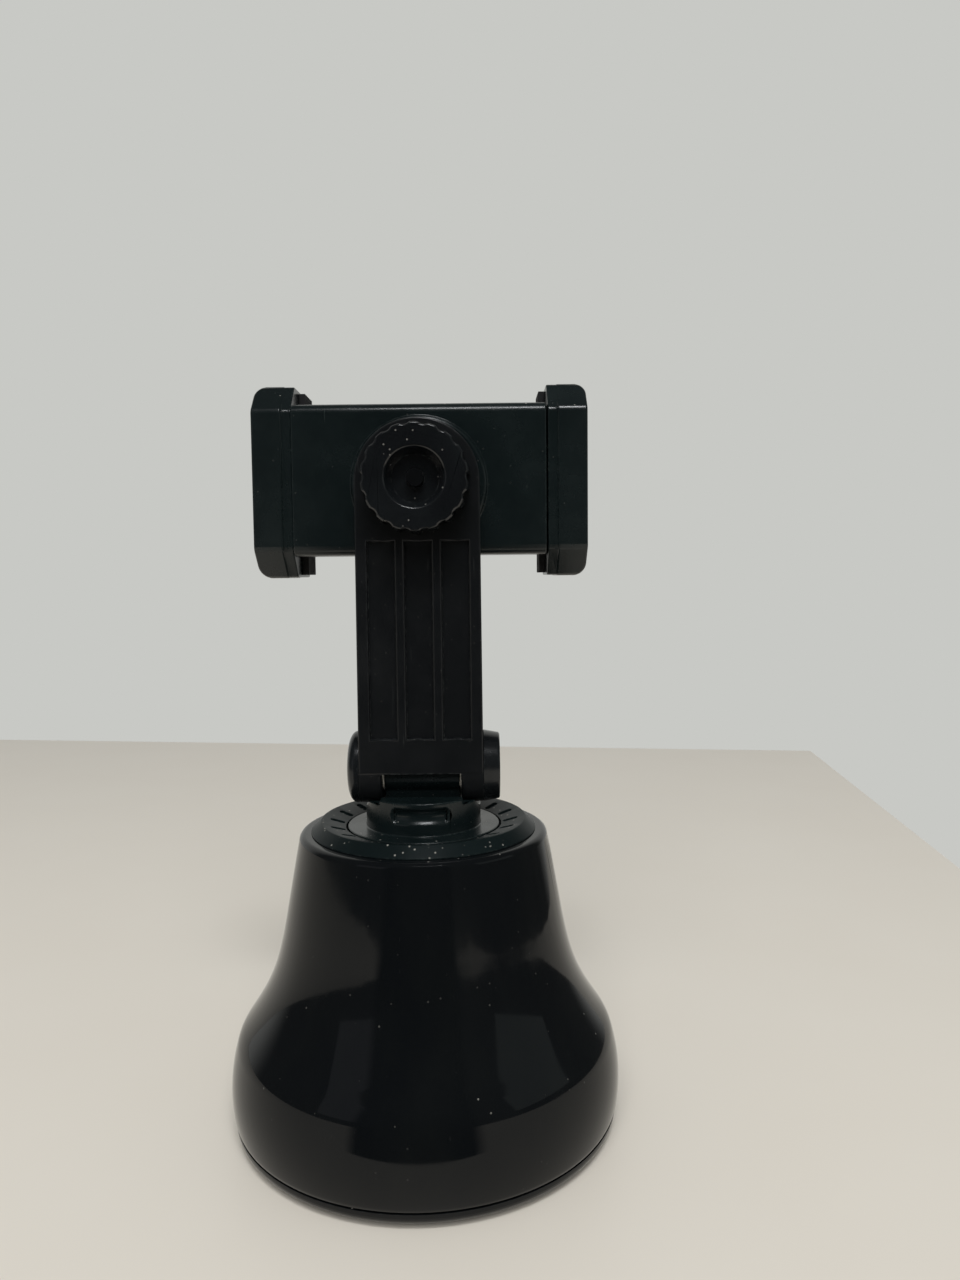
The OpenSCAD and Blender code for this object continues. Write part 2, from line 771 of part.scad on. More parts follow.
module motor_pinion() {
    color(brass) translate([pinion_x, pinion_y, idler_large_z - pinion_over]) difference() {
        linear_extrude(wheel_t + 2 * pinion_over)
            rotate(pinion_angle + 180 + 180 / pinion_teeth) polygon(wheel(pinion_teeth));
        translate([0, 0, -past]) cylinder(r = shaft_r + fit, h = wheel_t + 2 * past);
    }
}

module motor_shaft() {
    color(steel) translate([pinion_x, pinion_y, motor_z + motor_l / 2])
        cylinder(r = shaft_r, h = idler_small_z - motor_z - motor_l / 2);
}

module idler_gear() {
    color(white_nylon) translate([idler_x, 0, 0]) difference() {
        union() {
            translate([0, 0, idler_z]) cylinder(r = axle_r + idler_hub_wall, h = idler_foot + fit);
            translate([0, 0, idler_large_z]) linear_extrude(wheel_t)
                rotate(pinion_angle) polygon(wheel(idler_large_teeth));
            translate([0, 0, idler_small_z - fit]) linear_extrude(idler_top - idler_small_z + fit)
                rotate(180 / idler_small_teeth) polygon(wheel(idler_small_teeth));
        }
        translate([0, 0, idler_z - past]) cylinder(r = axle_r + run, h = idler_top - idler_z + 2 * past);
    }
}

module turntable() {
    color(satin_black) difference() {
        union() {
            rotate_extrude() polygon([[0, gear_bottom], [gear_seat_r, gear_bottom], [gear_seat_r, gear_top],
                [hub_r, gear_top], [hub_r, disc_under], [disc_r, disc_under], [disc_r, disc_top - disc_edge],
                [disc_r - disc_edge, disc_top], [drum_r, disc_top], [drum_r, drum_top - drum_edge],
                [drum_r - drum_edge, drum_top], [0, drum_top]]);
            turntable_saddle();
            translate([-tongue_w / 2, -neck_t / 2, drum_top - fit])
                cube([tongue_w, neck_t, hinge_rise + fit]);
            translate([0, 0, hinge_z]) rod_x(-tongue_w / 2, tongue_w, barrel_r);
        }
        translate([0, 0, hinge_z]) rod_x(-tongue_w / 2 - past, tongue_w + 2 * past, bolt_r + run);
        turntable_recess();
        translate([0, 0, gear_bottom - past])
            cylinder(r = gear_screw_size[0] + fit, h = gear_screw_l + screw_spare + past);
        translate([-gear_seat_r, gear_flat, gear_bottom - past])
            cube([2 * gear_seat_r, gear_seat_r, gear_t + past]);
    }
}

// The raised part of the drum, hollowed so that the knuckles and the arm's web swing over it
module turntable_saddle() {
    difference() {
        intersection() {
            union() {
                translate([-saddle_w / 2, -drum_r, disc_top]) cube([saddle_w, drum_d, saddle_top - disc_top]);
                translate([-drum_r, -drum_r, disc_top]) cube([drum_d, drum_d, shoulder_top - disc_top]);
            }
            translate([0, 0, disc_top]) cylinder(r = drum_r, h = saddle_top - disc_top);
        }
        translate([0, 0, hinge_z]) rod_x(-tongue_w, 2 * tongue_w, swing_r);
    }
}

// The stadium-shaped recess in the front of the drum
module turntable_recess() {
    difference() {
        translate([0, -drum_r / 2, saddle_top - recess_drop]) rotate([90, 0, 0]) linear_extrude(drum_r) {
            square([recess_w - recess_h, recess_h], center = true);
            for (side = [-1, 1]) translate([side * (recess_w - recess_h) / 2, 0]) circle(d = recess_h);
        }
        translate([0, 0, disc_top]) cylinder(r = drum_r - recess_depth, h = saddle_top);
    }
}

module drive_gear() {
    color(white_nylon) translate([0, 0, gear_bottom]) difference() {
        linear_extrude(gear_t) polygon(wheel(drive_teeth));
        difference() {
            translate([0, 0, -past]) cylinder(r = gear_seat_r + fit, h = gear_t + 2 * past);
            translate([-gear_seat_r, gear_flat + fit, -2 * past])
                cube([2 * gear_seat_r, gear_seat_r, gear_t + 4 * past]);
        }
    }
}

module gear_washer() {
    color(steel) translate([0, 0, gear_bottom - gear_washer_t]) difference() {
        cylinder(r = gear_seat_r + gear_washer_rim, h = gear_washer_t);
        translate([0, 0, -past]) cylinder(r = gear_screw_size[0] + fit, h = gear_washer_t + 2 * past);
    }
}

module gear_screw() {
    color(steel) translate([0, 0, gear_bottom - gear_washer_t]) screw(gear_screw_size, gear_screw_l);
}

module hinge_washers() {
    color(white_nylon) translate([0, 0, hinge_z]) for (side = [0, 1]) mirror([side, 0, 0]) difference() {
        rod_x(tongue_w / 2, washer_t, barrel_r - barrel_room);
        rod_x(tongue_w / 2 - past, washer_t + 2 * past, bolt_r + 2 * run);
    }
}

module swing_arm() {
    color(satin_black) difference() {
        union() {
            translate([0, arm_back, 0]) rotate([90, 0, 0]) linear_extrude(arm_t) {
                polygon([[-arm_foot_w / 2, hinge_z], [arm_foot_w / 2, hinge_z], [arm_w / 2, pivot_z],
                         [-arm_w / 2, pivot_z]]);
                translate([0, pivot_z]) circle(d = arm_w);
            }
            translate([0, 0, hinge_z]) rod_x(-arm_foot_w / 2, arm_foot_w, knuckle_r);
        }
        for (i = [-1 : 1]) translate([i * groove_pitch - groove_w / 2, arm_front - past, groove_foot])
            cube([groove_w, groove_depth + past, groove_head - groove_foot]);
        arm_notch();
        translate([0, 0, hinge_z]) rod_x(-arm_w, 2 * arm_w, bolt_r + fit);
        translate([0, 0, pivot_z]) rod_y(arm_front - past, arm_t + 2 * past, stud_r + run);
    }
}

// The gap between the fork's prongs. A web stays in front of the tongue, down to just below the hinge axis.
module arm_notch() {
    reach = 2 * knuckle_r;
    translate([0, 0, hinge_z]) {
        rod_x(-fork_gap / 2, fork_gap, barrel_r + barrel_room);
        translate([-fork_gap / 2, -reach, -reach]) cube([fork_gap, 2 * reach, reach - web_edge]);
        translate([-fork_gap / 2, arm_back, -reach]) cube([fork_gap, reach, reach + knuckle_r + play]);
    }
}

module hinge_bolt() {
    color(steel) translate([0, 0, hinge_z]) difference() {
        union() {
            rod_x(-arm_foot_w / 2, arm_foot_w + nut_h, bolt_r);
            rod_x(-arm_foot_w / 2 - bolt_head_h + play, bolt_head_h - play, bolt_head_r);
        }
        rotate([0, 90, 0]) translate([0, 0, -arm_foot_w / 2 - bolt_head_h - past])
            cylinder(r = bolt_socket_r, h = past + bolt_socket_h, $fn = 6);
    }
}

module hinge_nut() {
    color(steel) translate([arm_foot_w / 2, 0, hinge_z]) rotate([0, 90, 0]) difference() {
        cylinder(r = nut_r, h = nut_h, $fn = 6);
        translate([0, 0, -past]) cylinder(r = bolt_r + fit, h = nut_h + 2 * past);
    }
}

module left_hinge_cap() {
    color(gloss_black) translate([-arm_foot_w / 2, 0, hinge_z]) rotate([0, -90, 0]) rotate_extrude()
        polygon(concat([[bolt_head_r + play, 0], [knuckle_r, 0]],
                       [for (p = arc([0, 0], 1, 0, 90, 8))
                           [knuckle_r - dome_w + dome_w * p.x, left_cap_t - dome_h + dome_h * p.y]],
                       [[0, left_cap_t], [0, left_cap_t - cap_wall],
                        [bolt_head_r + play, left_cap_t - cap_wall]]));
}

module right_hinge_cap() {
    end_r = knuckle_r - cap_draft;
    color(gloss_black) translate([arm_foot_w / 2, 0, hinge_z]) rotate([0, 90, 0]) rotate_extrude()
        polygon(concat([[nut_r + play, 0], [knuckle_r, 0]],
                       arc([end_r - cap_edge, right_cap_t - cap_edge], cap_edge, 0, 90, 4),
                       [[0, right_cap_t], [0, nut_h + play], [nut_r + play, nut_h + play]]));
}

// The housing's section, with its two rear edges rounded
module spine_section() {
    polygon(concat(
        arc([spine_rear + spine_edge_r, spine_h / 2 - spine_edge_r], spine_edge_r, 90, 180, 8),
        arc([spine_rear + spine_edge_r, -spine_h / 2 + spine_edge_r], spine_edge_r, 180, 270, 8),
        [[spine_front, -spine_h / 2], [spine_front, spine_h / 2]]));
}

module clamp_housing() {
    inside_l = spine_l - 2 * end_wall;
    inside_h = spine_h - 2 * spine_wall;
    slot_h = jaw_tongue_h + 2 * play;
    color(satin_black) translate([0, 0, clamp_z]) difference() {
        union() {
            difference() {
                along_x(-spine_end, spine_l) spine_section();
                translate([-inside_l / 2, spine_rear + spine_wall, -inside_h / 2])
                    cube([inside_l, spine_t, inside_h]);
            }
            translate([0, 0, -clamp_rise]) rod_y(boss_front, boss_h + past, boss_r);
            for (x = [-1, 1], z = [-1, 1]) translate([x * post_x, 0, z * post_z])
                rod_y(spine_rear + past, spine_t - past, post_r);
            for (side = [0, 1]) mirror([0, 0, side]) {
                translate([stop_x, spine_rear + past, spring_z - spring_r])
                    cube([post_x - stop_x, spine_t - past, inside_h / 2 - spring_z + spring_r + past]);
                translate([spine_end - end_wall - rail_l, spine_rear + past, slot_h / 2])
                    cube([rail_l + past, tongue_front - spine_rear - past, rail_t]);
                translate([-spine_end + past, spine_rear + past, slot_h / 2 - seat_at])
                    cube([tenon_l, tongue_rear - spine_rear - past, seat_h]);
            }
        }
        translate([spine_end - end_wall - past, tongue_rear - play, -slot_h / 2])
            cube([end_wall + 2 * past, tongue_t + 2 * play, slot_h]);
        translate([-spine_end - past, tongue_rear, -jaw_tongue_h / 2 - fit])
            cube([end_wall + 2 * past, tongue_t + fit, jaw_tongue_h + 2 * fit]);
        translate([0, 0, -clamp_rise]) rod_y(boss_front - past, spine_wall + boss_h + 2 * past, stud_r + fit);
        for (x = [-1, 1], z = [-1, 1]) translate([x * post_x, 0, z * post_z])
            rod_y(spine_front - cover_screw_l, cover_screw_l + past, small_screw[0] + fit);
        for (z = [-1, 1]) translate([-spine_end + end_wall + tenon_l / 2, 0, z * jaw_tongue_h / 4])
            rod_y(spine_rear + spine_wall, spine_t, small_screw[0] + fit);
    }
}

module clamp_cover() {
    rib_h = jaw_tongue_h - 4;
    color(inner_black) translate([0, 0, clamp_z]) difference() {
        union() {
            translate([-spine_end, spine_front, -spine_h / 2]) cube([spine_l, cover_t, spine_h]);
            translate([spine_end - end_wall - rail_l, tongue_front + play, -rib_h / 2])
                cube([rail_l - play, spine_front - tongue_front - play + fit, rib_h]);
        }
        for (x = [-1, 1], z = [-1, 1]) translate([x * post_x, 0, z * post_z]) {
            rod_y(spine_front - past, cover_t + 2 * past, small_screw[0] + fit);
            rod_y(cover_front - small_screw[2], small_screw[2] + past, small_screw[1] + fit);
        }
    }
}

module cover_screws() {
    color(steel) translate([0, 0, clamp_z]) for (x = [-1, 1], z = [-1, 1])
        translate([x * post_x, cover_front - small_screw[2], z * post_z]) rotate([90, 0, 0])
            screw(small_screw, cover_screw_l);
}

module back_pad() {
    color(rubber_black)
        translate([-(post_x - pad_margin_x), cover_front, clamp_z - spine_h / 2 + pad_margin_z])
            cube([2 * (post_x - pad_margin_x), back_pad_t, spine_h - 2 * pad_margin_z]);
}

// A jaw's side view, drawn in by an inset at its top and bottom and another one at its rear
module jaw_section(inset, rear_inset) {
    top = jaw_h / 2 - inset;
    rear = spine_h / 2 - jaw_rear_drop - inset;
    polygon([[spine_rear + rear_inset, -rear], [spine_rear + rear_inset, rear],
             [spine_rear + jaw_chamfer, top], [jaw_front - jaw_corner, top],
             [jaw_front, top - jaw_corner], [jaw_front, jaw_corner - top],
             [jaw_front - jaw_corner, -top], [spine_rear + jaw_chamfer, -top]]);
}

// A jaw as seen from behind, with its outer corners rounded
module jaw_outline() {
    polygon(concat([[0, -jaw_h / 2]],
                   arc([jaw_w - jaw_side_r, -jaw_h / 2 + jaw_side_r], jaw_side_r, -90, 0, 8),
                   arc([jaw_w - jaw_side_r, jaw_h / 2 - jaw_side_r], jaw_side_r, 0, 90, 8),
                   [[0, jaw_h / 2]]));
}

// A jaw that grips from the +X side, with its inner face at x = 0
module jaw_body() {
    intersection() {
        along_x(jaw_step_w - fit, jaw_w - jaw_step_w + fit) jaw_section(0, 0);
        translate([0, jaw_front + past, 0]) rotate([90, 0, 0])
            linear_extrude(jaw_depth + 2 * past) jaw_outline();
    }
    along_x(0, jaw_step_w) jaw_section(jaw_step, jaw_step_rear);
    translate([-hook_in, jaw_front - hook_t, -hook_h / 2]) cube([hook_in + past, hook_t, hook_h]);
}

module jaw_pad() {
    translate([-pad_t, back_pad_front + pad_gap, -pad_h / 2])
        cube([pad_t, jaw_front - hook_t - back_pad_front - pad_gap - fit, pad_h]);
}

module fixed_jaw() {
    color(satin_black) translate([0, 0, clamp_z]) difference() {
        union() {
            translate([-spine_end, 0, 0]) mirror([1, 0, 0]) jaw_body();
            translate([-spine_end - past, tongue_rear, -jaw_tongue_h / 2])
                cube([past + end_wall + tenon_l - play, tongue_t, jaw_tongue_h]);
        }
        for (z = [-1, 1]) translate([-spine_end + end_wall + tenon_l / 2, 0, z * jaw_tongue_h / 4])
            rod_y(spine_rear, spine_t, small_screw[0] + fit);
    }
}

module fixed_jaw_screws() {
    color(steel) translate([0, 0, clamp_z]) for (z = [-1, 1])
        translate([-spine_end + end_wall + tenon_l / 2, tongue_front, z * jaw_tongue_h / 4])
            rotate([90, 0, 0]) screw(small_screw, tongue_front - spine_rear - spine_wall);
}

module fixed_jaw_pad() {
    color(rubber_black) translate([-spine_end, 0, clamp_z]) mirror([1, 0, 0]) jaw_pad();
}

module pivot_stud() {
    color(steel) translate([0, 0, pivot_z]) {
        rod_y(spine_rear + spine_wall, stud_head_h, stud_head_r);
        rod_y(stud_tip, spine_rear + spine_wall - stud_tip + fit, stud_r);
    }
}

module swivel_washer() {
    color(white_nylon) translate([0, 0, pivot_z]) difference() {
        rod_y(boss_front - swivel_t, swivel_t, arm_w / 2 - 2);
        rod_y(boss_front - swivel_t - past, swivel_t + 2 * past, stud_r + fit);
    }
}

module jaw_springs() {
    from = ear_left + ear_t;
    color(steel) translate([0, spring_y, clamp_z]) for (side = [-1, 1])
        translate([0, 0, side * spring_z]) difference() {
            rod_x(from, stop_x - from, spring_r);
            rod_x(from - past, stop_x - from + 2 * past, spring_r - spring_wire);
        }
}

module sliding_jaw() {
    color(satin_black) translate([0, 0, clamp_z]) {
        translate([spine_end + jaw_gap, 0, 0]) jaw_body();
        translate([ear_left, tongue_rear, -jaw_tongue_h / 2])
            cube([spine_end + jaw_gap - ear_left + past, tongue_t, jaw_tongue_h]);
        translate([ear_left, tongue_rear, -jaw_tongue_h / 2 - ear_h])
            cube([ear_t, tongue_t, jaw_tongue_h + 2 * ear_h]);
    }
}

module sliding_jaw_pad() {
    color(rubber_black) translate([spine_end + jaw_gap, 0, clamp_z]) jaw_pad();
}

module lock_knob() {
    color(gloss_black) translate([0, knob_seat, pivot_z]) rotate([90, 0, 0]) difference() {
        rotate_extrude() polygon([[stud_r + run, 0], [knob_r, 0], [knob_r, knob_h / 2],
            [knob_r - knob_taper, knob_h - knob_crown], [knob_r - knob_taper - knob_crown, knob_h],
            [knob_recess_r, knob_h], [knob_recess_r - knob_recess_taper, knob_floor],
            [stud_r + run, knob_floor]]);
        for (i = [0 : knob_scallops - 1]) rotate(360 * i / knob_scallops)
            translate([knob_r + scallop_r - scallop_depth, 0, -past])
                cylinder(r = scallop_r, h = knob_h + 2 * past);
        translate([0, 0, -past]) cylinder(r = knob_nut_r + fit, h = knob_nut_h + past, $fn = 6);
    }
}

module knob_nut() {
    color(brass) translate([0, knob_seat, pivot_z]) rotate([90, 0, 0]) difference() {
        cylinder(r = knob_nut_r, h = knob_nut_h, $fn = 6);
        translate([0, 0, -past]) cylinder(r = stud_r + run, h = knob_nut_h + 2 * past);
    }
}

bell_shell();
dial_plate();
base_plate();
rubber_feet();
base_screws();
battery_door();
battery_door_screw();
battery_box();
battery_cells();
battery_springs();
battery_contacts();
battery_leads();
circuit_board();
board_screws();
motor_leads();
drive_motor();
motor_screws();
gear_plate();
gear_plate_screws();
idler_axle();
spindle_bush();
thrust_washer();
switch_body();
switch_slider();
motor_pinion();
motor_shaft();
idler_gear();
turntable();
drive_gear();
gear_washer();
gear_screw();
hinge_washers();
swing_arm();
hinge_bolt();
hinge_nut();
left_hinge_cap();
right_hinge_cap();
clamp_housing();
clamp_cover();
cover_screws();
back_pad();
fixed_jaw();
fixed_jaw_screws();
fixed_jaw_pad();
pivot_stud();
swivel_washer();
jaw_springs();
sliding_jaw();
sliding_jaw_pad();
lock_knob();
knob_nut();
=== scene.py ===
"""Looks of a free-standing phone holder: gloss bell, satin turntable and arm, and a sprung clamp."""
import json
import math

import bpy
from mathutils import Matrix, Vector


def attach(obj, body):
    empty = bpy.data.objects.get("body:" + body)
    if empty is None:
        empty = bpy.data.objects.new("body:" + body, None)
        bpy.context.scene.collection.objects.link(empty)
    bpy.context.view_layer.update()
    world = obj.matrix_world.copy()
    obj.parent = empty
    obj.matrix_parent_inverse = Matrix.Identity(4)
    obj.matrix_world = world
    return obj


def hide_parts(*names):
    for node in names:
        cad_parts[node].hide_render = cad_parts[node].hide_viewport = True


bl_info = {
    "name": "Phone holder",
    "version": (1, 0, 0),
    "blender": (4, 5, 0),
    "location": "3D View > Sidebar > Holder",
    "description": "Models the visible pieces of a motor-turned phone holder on its CAD frame",
    "category": "Object",
}

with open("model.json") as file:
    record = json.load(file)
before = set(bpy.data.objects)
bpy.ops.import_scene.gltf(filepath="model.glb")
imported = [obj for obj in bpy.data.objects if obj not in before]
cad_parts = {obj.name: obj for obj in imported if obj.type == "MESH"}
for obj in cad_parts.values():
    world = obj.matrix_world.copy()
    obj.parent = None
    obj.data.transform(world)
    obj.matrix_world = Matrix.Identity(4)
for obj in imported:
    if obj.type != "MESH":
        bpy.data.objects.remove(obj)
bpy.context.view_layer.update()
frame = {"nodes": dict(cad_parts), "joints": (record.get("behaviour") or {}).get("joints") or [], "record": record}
MM = 0.001

# Places in millimetres: the hinge and the clamp's pivot come from the joints, the faces are given
JOINT_Z = {row["name"]: row["pos_m"][2] / MM for row in frame["joints"] if row["type"] == "hinge"}
HINGE_Z = JOINT_Z["tilt"]
PIVOT_Z = JOINT_Z["clamp_swivel"]
CLAMP_Z = PIVOT_Z + 1.3
ARM_BACK = -1.2
SPINE_REAR = 0.6


def linear(text):
    """An sRGB hex value as a linear colour."""
    channels = [int(text[i:i + 2], 16) / 255 for i in (1, 3, 5)]
    return [c / 12.92 if c <= 0.04045 else ((c + 0.055) / 1.055) ** 2.4 for c in channels] + [1.0]


def length(name, description, millimetres):
    """A length that a user may change."""
    return bpy.props.FloatProperty(name=name, description=description, default=millimetres * MM, min=0.0,
                                   unit="LENGTH", subtype="DISTANCE", precision=4)


def paint(name, description, text):
    """A colour that a user may change."""
    return bpy.props.FloatVectorProperty(name=name, description=description, default=linear(text), size=4,
                                         min=0.0, max=1.0, subtype="COLOR")


class HolderSizes(bpy.types.PropertyGroup):
    """Sizes that shape the pieces without moving them."""

    bell_radius: length("Bell radius", "Radius that the belly's curve is drawn with", 47.5)
    bell_top_radius: length("Bell top radius", "Radius below the rounded top edge", 30.3)
    bell_wall: length("Bell wall", "Wall of the bell", 2.2)
    dial_radius: length("Dial radius", "Radius of the dial's raised rim", 25.0)
    mark_width: length("Mark width", "Width of a mark on the dial", 1.6)
    drum_radius: length("Drum radius", "Radius of the turntable's drum", 14.0)
    arm_width: length("Arm width", "Width of the arm at its round end", 29.2)
    groove_depth: length("Groove depth", "Depth of the arm's three long grooves", 1.2)
    knob_radius: length("Knob radius", "Largest radius of the lock knob", 12.6)
    knob_scallops: bpy.props.IntProperty(name="Knob scallops", description="Scallops round the knob",
                                         default=18, min=8)
    edge: length("Edge", "Radius that the moulded edges are rounded with", 0.35)


class HolderColours(bpy.types.PropertyGroup):
    """Colours of the finishes."""

    gloss: paint("Gloss black", "Bell, base plate and hinge caps", "#0a0c0e")
    satin: paint("Satin black", "Arm, knob and hinge caps", "#0d0f11")
    green: paint("Green-black", "Dial, turntable, housing and jaws", "#0c1314")
    rubber: paint("Rubber black", "Pads and feet", "#161617")
    floor: paint("Floor", "Table top", "#d6d1c8")
    wall: paint("Wall", "Background", "#c8c9c5")


# Small helpers for nodes and outlines

def add(tree, kind, values=None, links=None, **settings):
    """Adds a node with its settings, its socket values and its links."""
    made = tree.nodes.new(kind)
    for key, value in settings.items():
        setattr(made, key, value)
    for socket, value in (values or {}).items():
        made.inputs[socket].default_value = value
    for socket, source in (links or {}).items():
        tree.links.new(source, made.inputs[socket])
    return made


def feed(tree, socket, value):
    """Gives a socket a value, or a link if the value is the output of another node."""
    if isinstance(value, bpy.types.NodeSocket):
        tree.links.new(value, socket)
    else:
        socket.default_value = value


def ramp(tree, source, low, high, to=(0.0, 1.0), **settings):
    """Maps the range from low to high onto another one, which is 0 to 1 unless told."""
    ends = {"From Min": low, "From Max": high, "To Min": to[0], "To Max": to[1]}
    return add(tree, "ShaderNodeMapRange", ends, {"Value": source}, **settings).outputs["Result"]


def blend(tree, share, first, second):
    """Mixes two colours by a share."""
    mix = add(tree, "ShaderNodeMix", links={0: share}, data_type="RGBA")
    feed(tree, mix.inputs[6], first)
    feed(tree, mix.inputs[7], second)
    return mix.outputs[2]


def maths(tree, operation, *values, **settings):
    """Works on values and outputs with one operation."""
    made = add(tree, "ShaderNodeMath", operation=operation, **settings)
    for socket, value in zip(made.inputs, values):
        feed(tree, socket, value)
    return made.outputs[0]


def curve(a, b, c, d, steps):
    """Points of a cubic curve from a up to, and without, d."""
    points = []
    for i in range(steps):
        t = i / steps
        s = 1 - t
        points.append(tuple(s * s * s * p + 3 * s * s * t * q + 3 * s * t * t * u + t * t * t * v
                            for p, q, u, v in zip(a, b, c, d)))
    return points


def arc(centre, radius, start, end, steps):
    """Points on an arc, with angles in degrees."""
    turns = [math.radians(start + (end - start) * i / steps) for i in range(steps + 1)]
    return [(centre[0] + radius * math.cos(t), centre[1] + radius * math.sin(t)) for t in turns]


def along(point, angle, distance):
    """The point at a distance in the direction of an angle in degrees."""
    turn = math.radians(angle)
    return (point[0] + distance * math.cos(turn), point[1] + distance * math.sin(turn))


def inset(points, wall):
    """An outline that runs upwards, moved inwards by a wall."""
    moved = []
    for i, p in enumerate(points):
        a, b = points[max(i - 1, 0)], points[min(i + 1, len(points) - 1)]
        length = math.dist(a, b)
        moved.append((p[0] - wall * (b[1] - a[1]) / length, p[1] + wall * (b[0] - a[0]) / length))
    return moved


# Modelling, as by hand: a primitive is added, shaped in edit mode and finished with applied modifiers

def settle():
    """Leaves edit mode and deselects everything, because an operator acts on all that is selected."""
    if bpy.context.mode != "OBJECT":
        bpy.ops.object.mode_set(mode="OBJECT")
    bpy.ops.object.select_all(action="DESELECT")


def begin(name, add_primitive, **size):
    """Adds a primitive and puts its place into its mesh."""
    settle()
    add_primitive(**size)
    piece = bpy.context.object
    piece.name = piece.data.name = name
    bpy.ops.object.transform_apply(location=True, rotation=True, scale=True)
    return piece


def hold(piece):
    """Makes one piece the only selected and active one."""
    settle()
    piece.select_set(True)
    bpy.context.view_layer.objects.active = piece


def block(name, low, high):
    """A block between two corners, in millimetres."""
    middle = [(a + b) / 2 * MM for a, b in zip(low, high)]
    size = [abs(b - a) * MM for a, b in zip(low, high)]
    return begin(name, bpy.ops.mesh.primitive_cube_add, size=1, location=middle, scale=size)


def rod(name, start, end, radius, segments=64):
    """A round bar between two points, in millimetres."""
    a, b = Vector(start) * MM, Vector(end) * MM
    turn = (b - a).to_track_quat("Z", "Y").to_euler()
    return begin(name, bpy.ops.mesh.primitive_cylinder_add, vertices=segments, radius=radius * MM,
                 depth=(b - a).length, location=(a + b) / 2, rotation=turn)


def pick(piece, kind, test, bend=0):
    """Goes to edit mode with only the elements selected whose middle passes a test in millimetres.

    With a bend in degrees, an edge is taken only where its two faces turn by more than that."""
    hold(piece)
    bpy.ops.object.mode_set(mode="EDIT")
    bpy.ops.mesh.select_mode(type=kind)
    bpy.ops.mesh.select_all(action="DESELECT")
    bpy.ops.object.mode_set(mode="OBJECT")
    mesh = piece.data
    elements = {"VERT": mesh.vertices, "EDGE": mesh.edges, "FACE": mesh.polygons}[kind]
    normals = {}
    for polygon in mesh.polygons if bend else ():
        for key in polygon.edge_keys:
            normals.setdefault(key, []).append(polygon.normal.copy())
    for element in elements:
        if bend:
            pair = normals.get(element.key, ())
            if len(pair) != 2 or pair[0].angle(pair[1], 0) < math.radians(bend):
                continue
        if kind == "VERT":
            places = [element.co]
        else:
            places = [mesh.vertices[i].co for i in element.vertices]
        middle = sum(places, Vector()) / len(places) / MM
        element.select = bool(test(middle, [p / MM for p in places]))
    bpy.ops.object.mode_set(mode="EDIT")


def turned(name, outline, segments=96, closed=False, turn=(0, 0, 0), place=(0, 0, 0)):
    """Turns an outline of radius and height round Z: a circle is extruded and scaled from ring to ring."""
    radius, height = (v * MM for v in outline[0])
    piece = begin(name, bpy.ops.mesh.primitive_circle_add, vertices=segments, radius=radius,
                  fill_type="NOTHING" if closed else "NGON", location=(0, 0, height))
    bpy.ops.object.mode_set(mode="EDIT")
    bpy.ops.mesh.select_mode(type="VERT")
    bpy.ops.mesh.select_all(action="SELECT")
    for next_radius, next_height in outline[1:]:
        r, h = next_radius * MM, next_height * MM
        if closed:
            bpy.ops.mesh.extrude_edges_move(TRANSFORM_OT_translate={"value": (0, 0, h - height)})
        else:
            bpy.ops.mesh.extrude_region_move(TRANSFORM_OT_translate={"value": (0, 0, h - height)})
        bpy.ops.transform.resize(value=(r / radius, r / radius, 1), center_override=(0, 0, h))
        radius, height = r, h
    bpy.ops.mesh.select_all(action="SELECT")
    bpy.ops.mesh.remove_doubles(threshold=0.001 * MM)
    bpy.ops.mesh.normals_make_consistent(inside=False)
    bpy.ops.object.mode_set(mode="OBJECT")
    piece.rotation_euler = [math.radians(a) for a in turn]
    piece.location = [v * MM for v in place]
    bpy.ops.object.transform_apply(location=True, rotation=True, scale=True)
    return piece


def shape(piece, tool, operation="DIFFERENCE"):
    """Cuts a piece with a tool, or joins them, and takes the tool away."""
    hold(piece)
    bpy.ops.object.modifier_add(type="BOOLEAN")
    modifier = piece.modifiers[-1]
    modifier.operation = operation
    modifier.solver = "EXACT"
    modifier.object = tool
    bpy.ops.object.modifier_apply(modifier=modifier.name)
    bpy.data.objects.remove(tool)
    return piece


def copies(piece, transforms):
    """Copies a piece, mesh and all, to each place and joins the copies. A place is a turn about an axis."""
    made = []
    for angle, axis, centre in transforms:
        hold(piece)
        bpy.ops.object.duplicate(linked=False)
        copy = bpy.context.object
        bpy.ops.object.mode_set(mode="EDIT")
        bpy.ops.mesh.select_all(action="SELECT")
        bpy.ops.transform.rotate(value=math.radians(-angle), orient_axis=axis,
                                 center_override=[v * MM for v in centre])
        made.append(copy)
    settle()
    bpy.data.objects.remove(piece)
    for copy in made:
        copy.select_set(True)
    bpy.context.view_layer.objects.active = made[0]
    bpy.ops.object.join()
    return bpy.context.object


def soften(piece, width, segments=3, angle=30, only=lambda middle, ends: True):
    """Rounds the sharp edges as a mould does, or those that pass a test, and smooths what lies between."""
    hold(piece)
    bpy.ops.object.mode_set(mode="EDIT")
    bpy.ops.mesh.select_all(action="SELECT")
    bpy.ops.mesh.remove_doubles(threshold=0.03 * MM)
    bpy.ops.mesh.dissolve_limited(angle_limit=math.radians(0.5))
    bpy.ops.object.mode_set(mode="OBJECT")
    if width:
        pick(piece, "EDGE", only, bend=angle)
        bpy.ops.mesh.bevel(offset=width * MM, segments=segments, affect="EDGES")
        bpy.ops.object.mode_set(mode="OBJECT")
    bpy.ops.object.shade_smooth_by_angle(angle=math.radians(40))
    bpy.ops.object.modifier_add(type="WEIGHTED_NORMAL")
    piece.modifiers[-1].keep_sharp = True
    bpy.ops.object.modifier_apply(modifier=piece.modifiers[-1].name)
    return piece


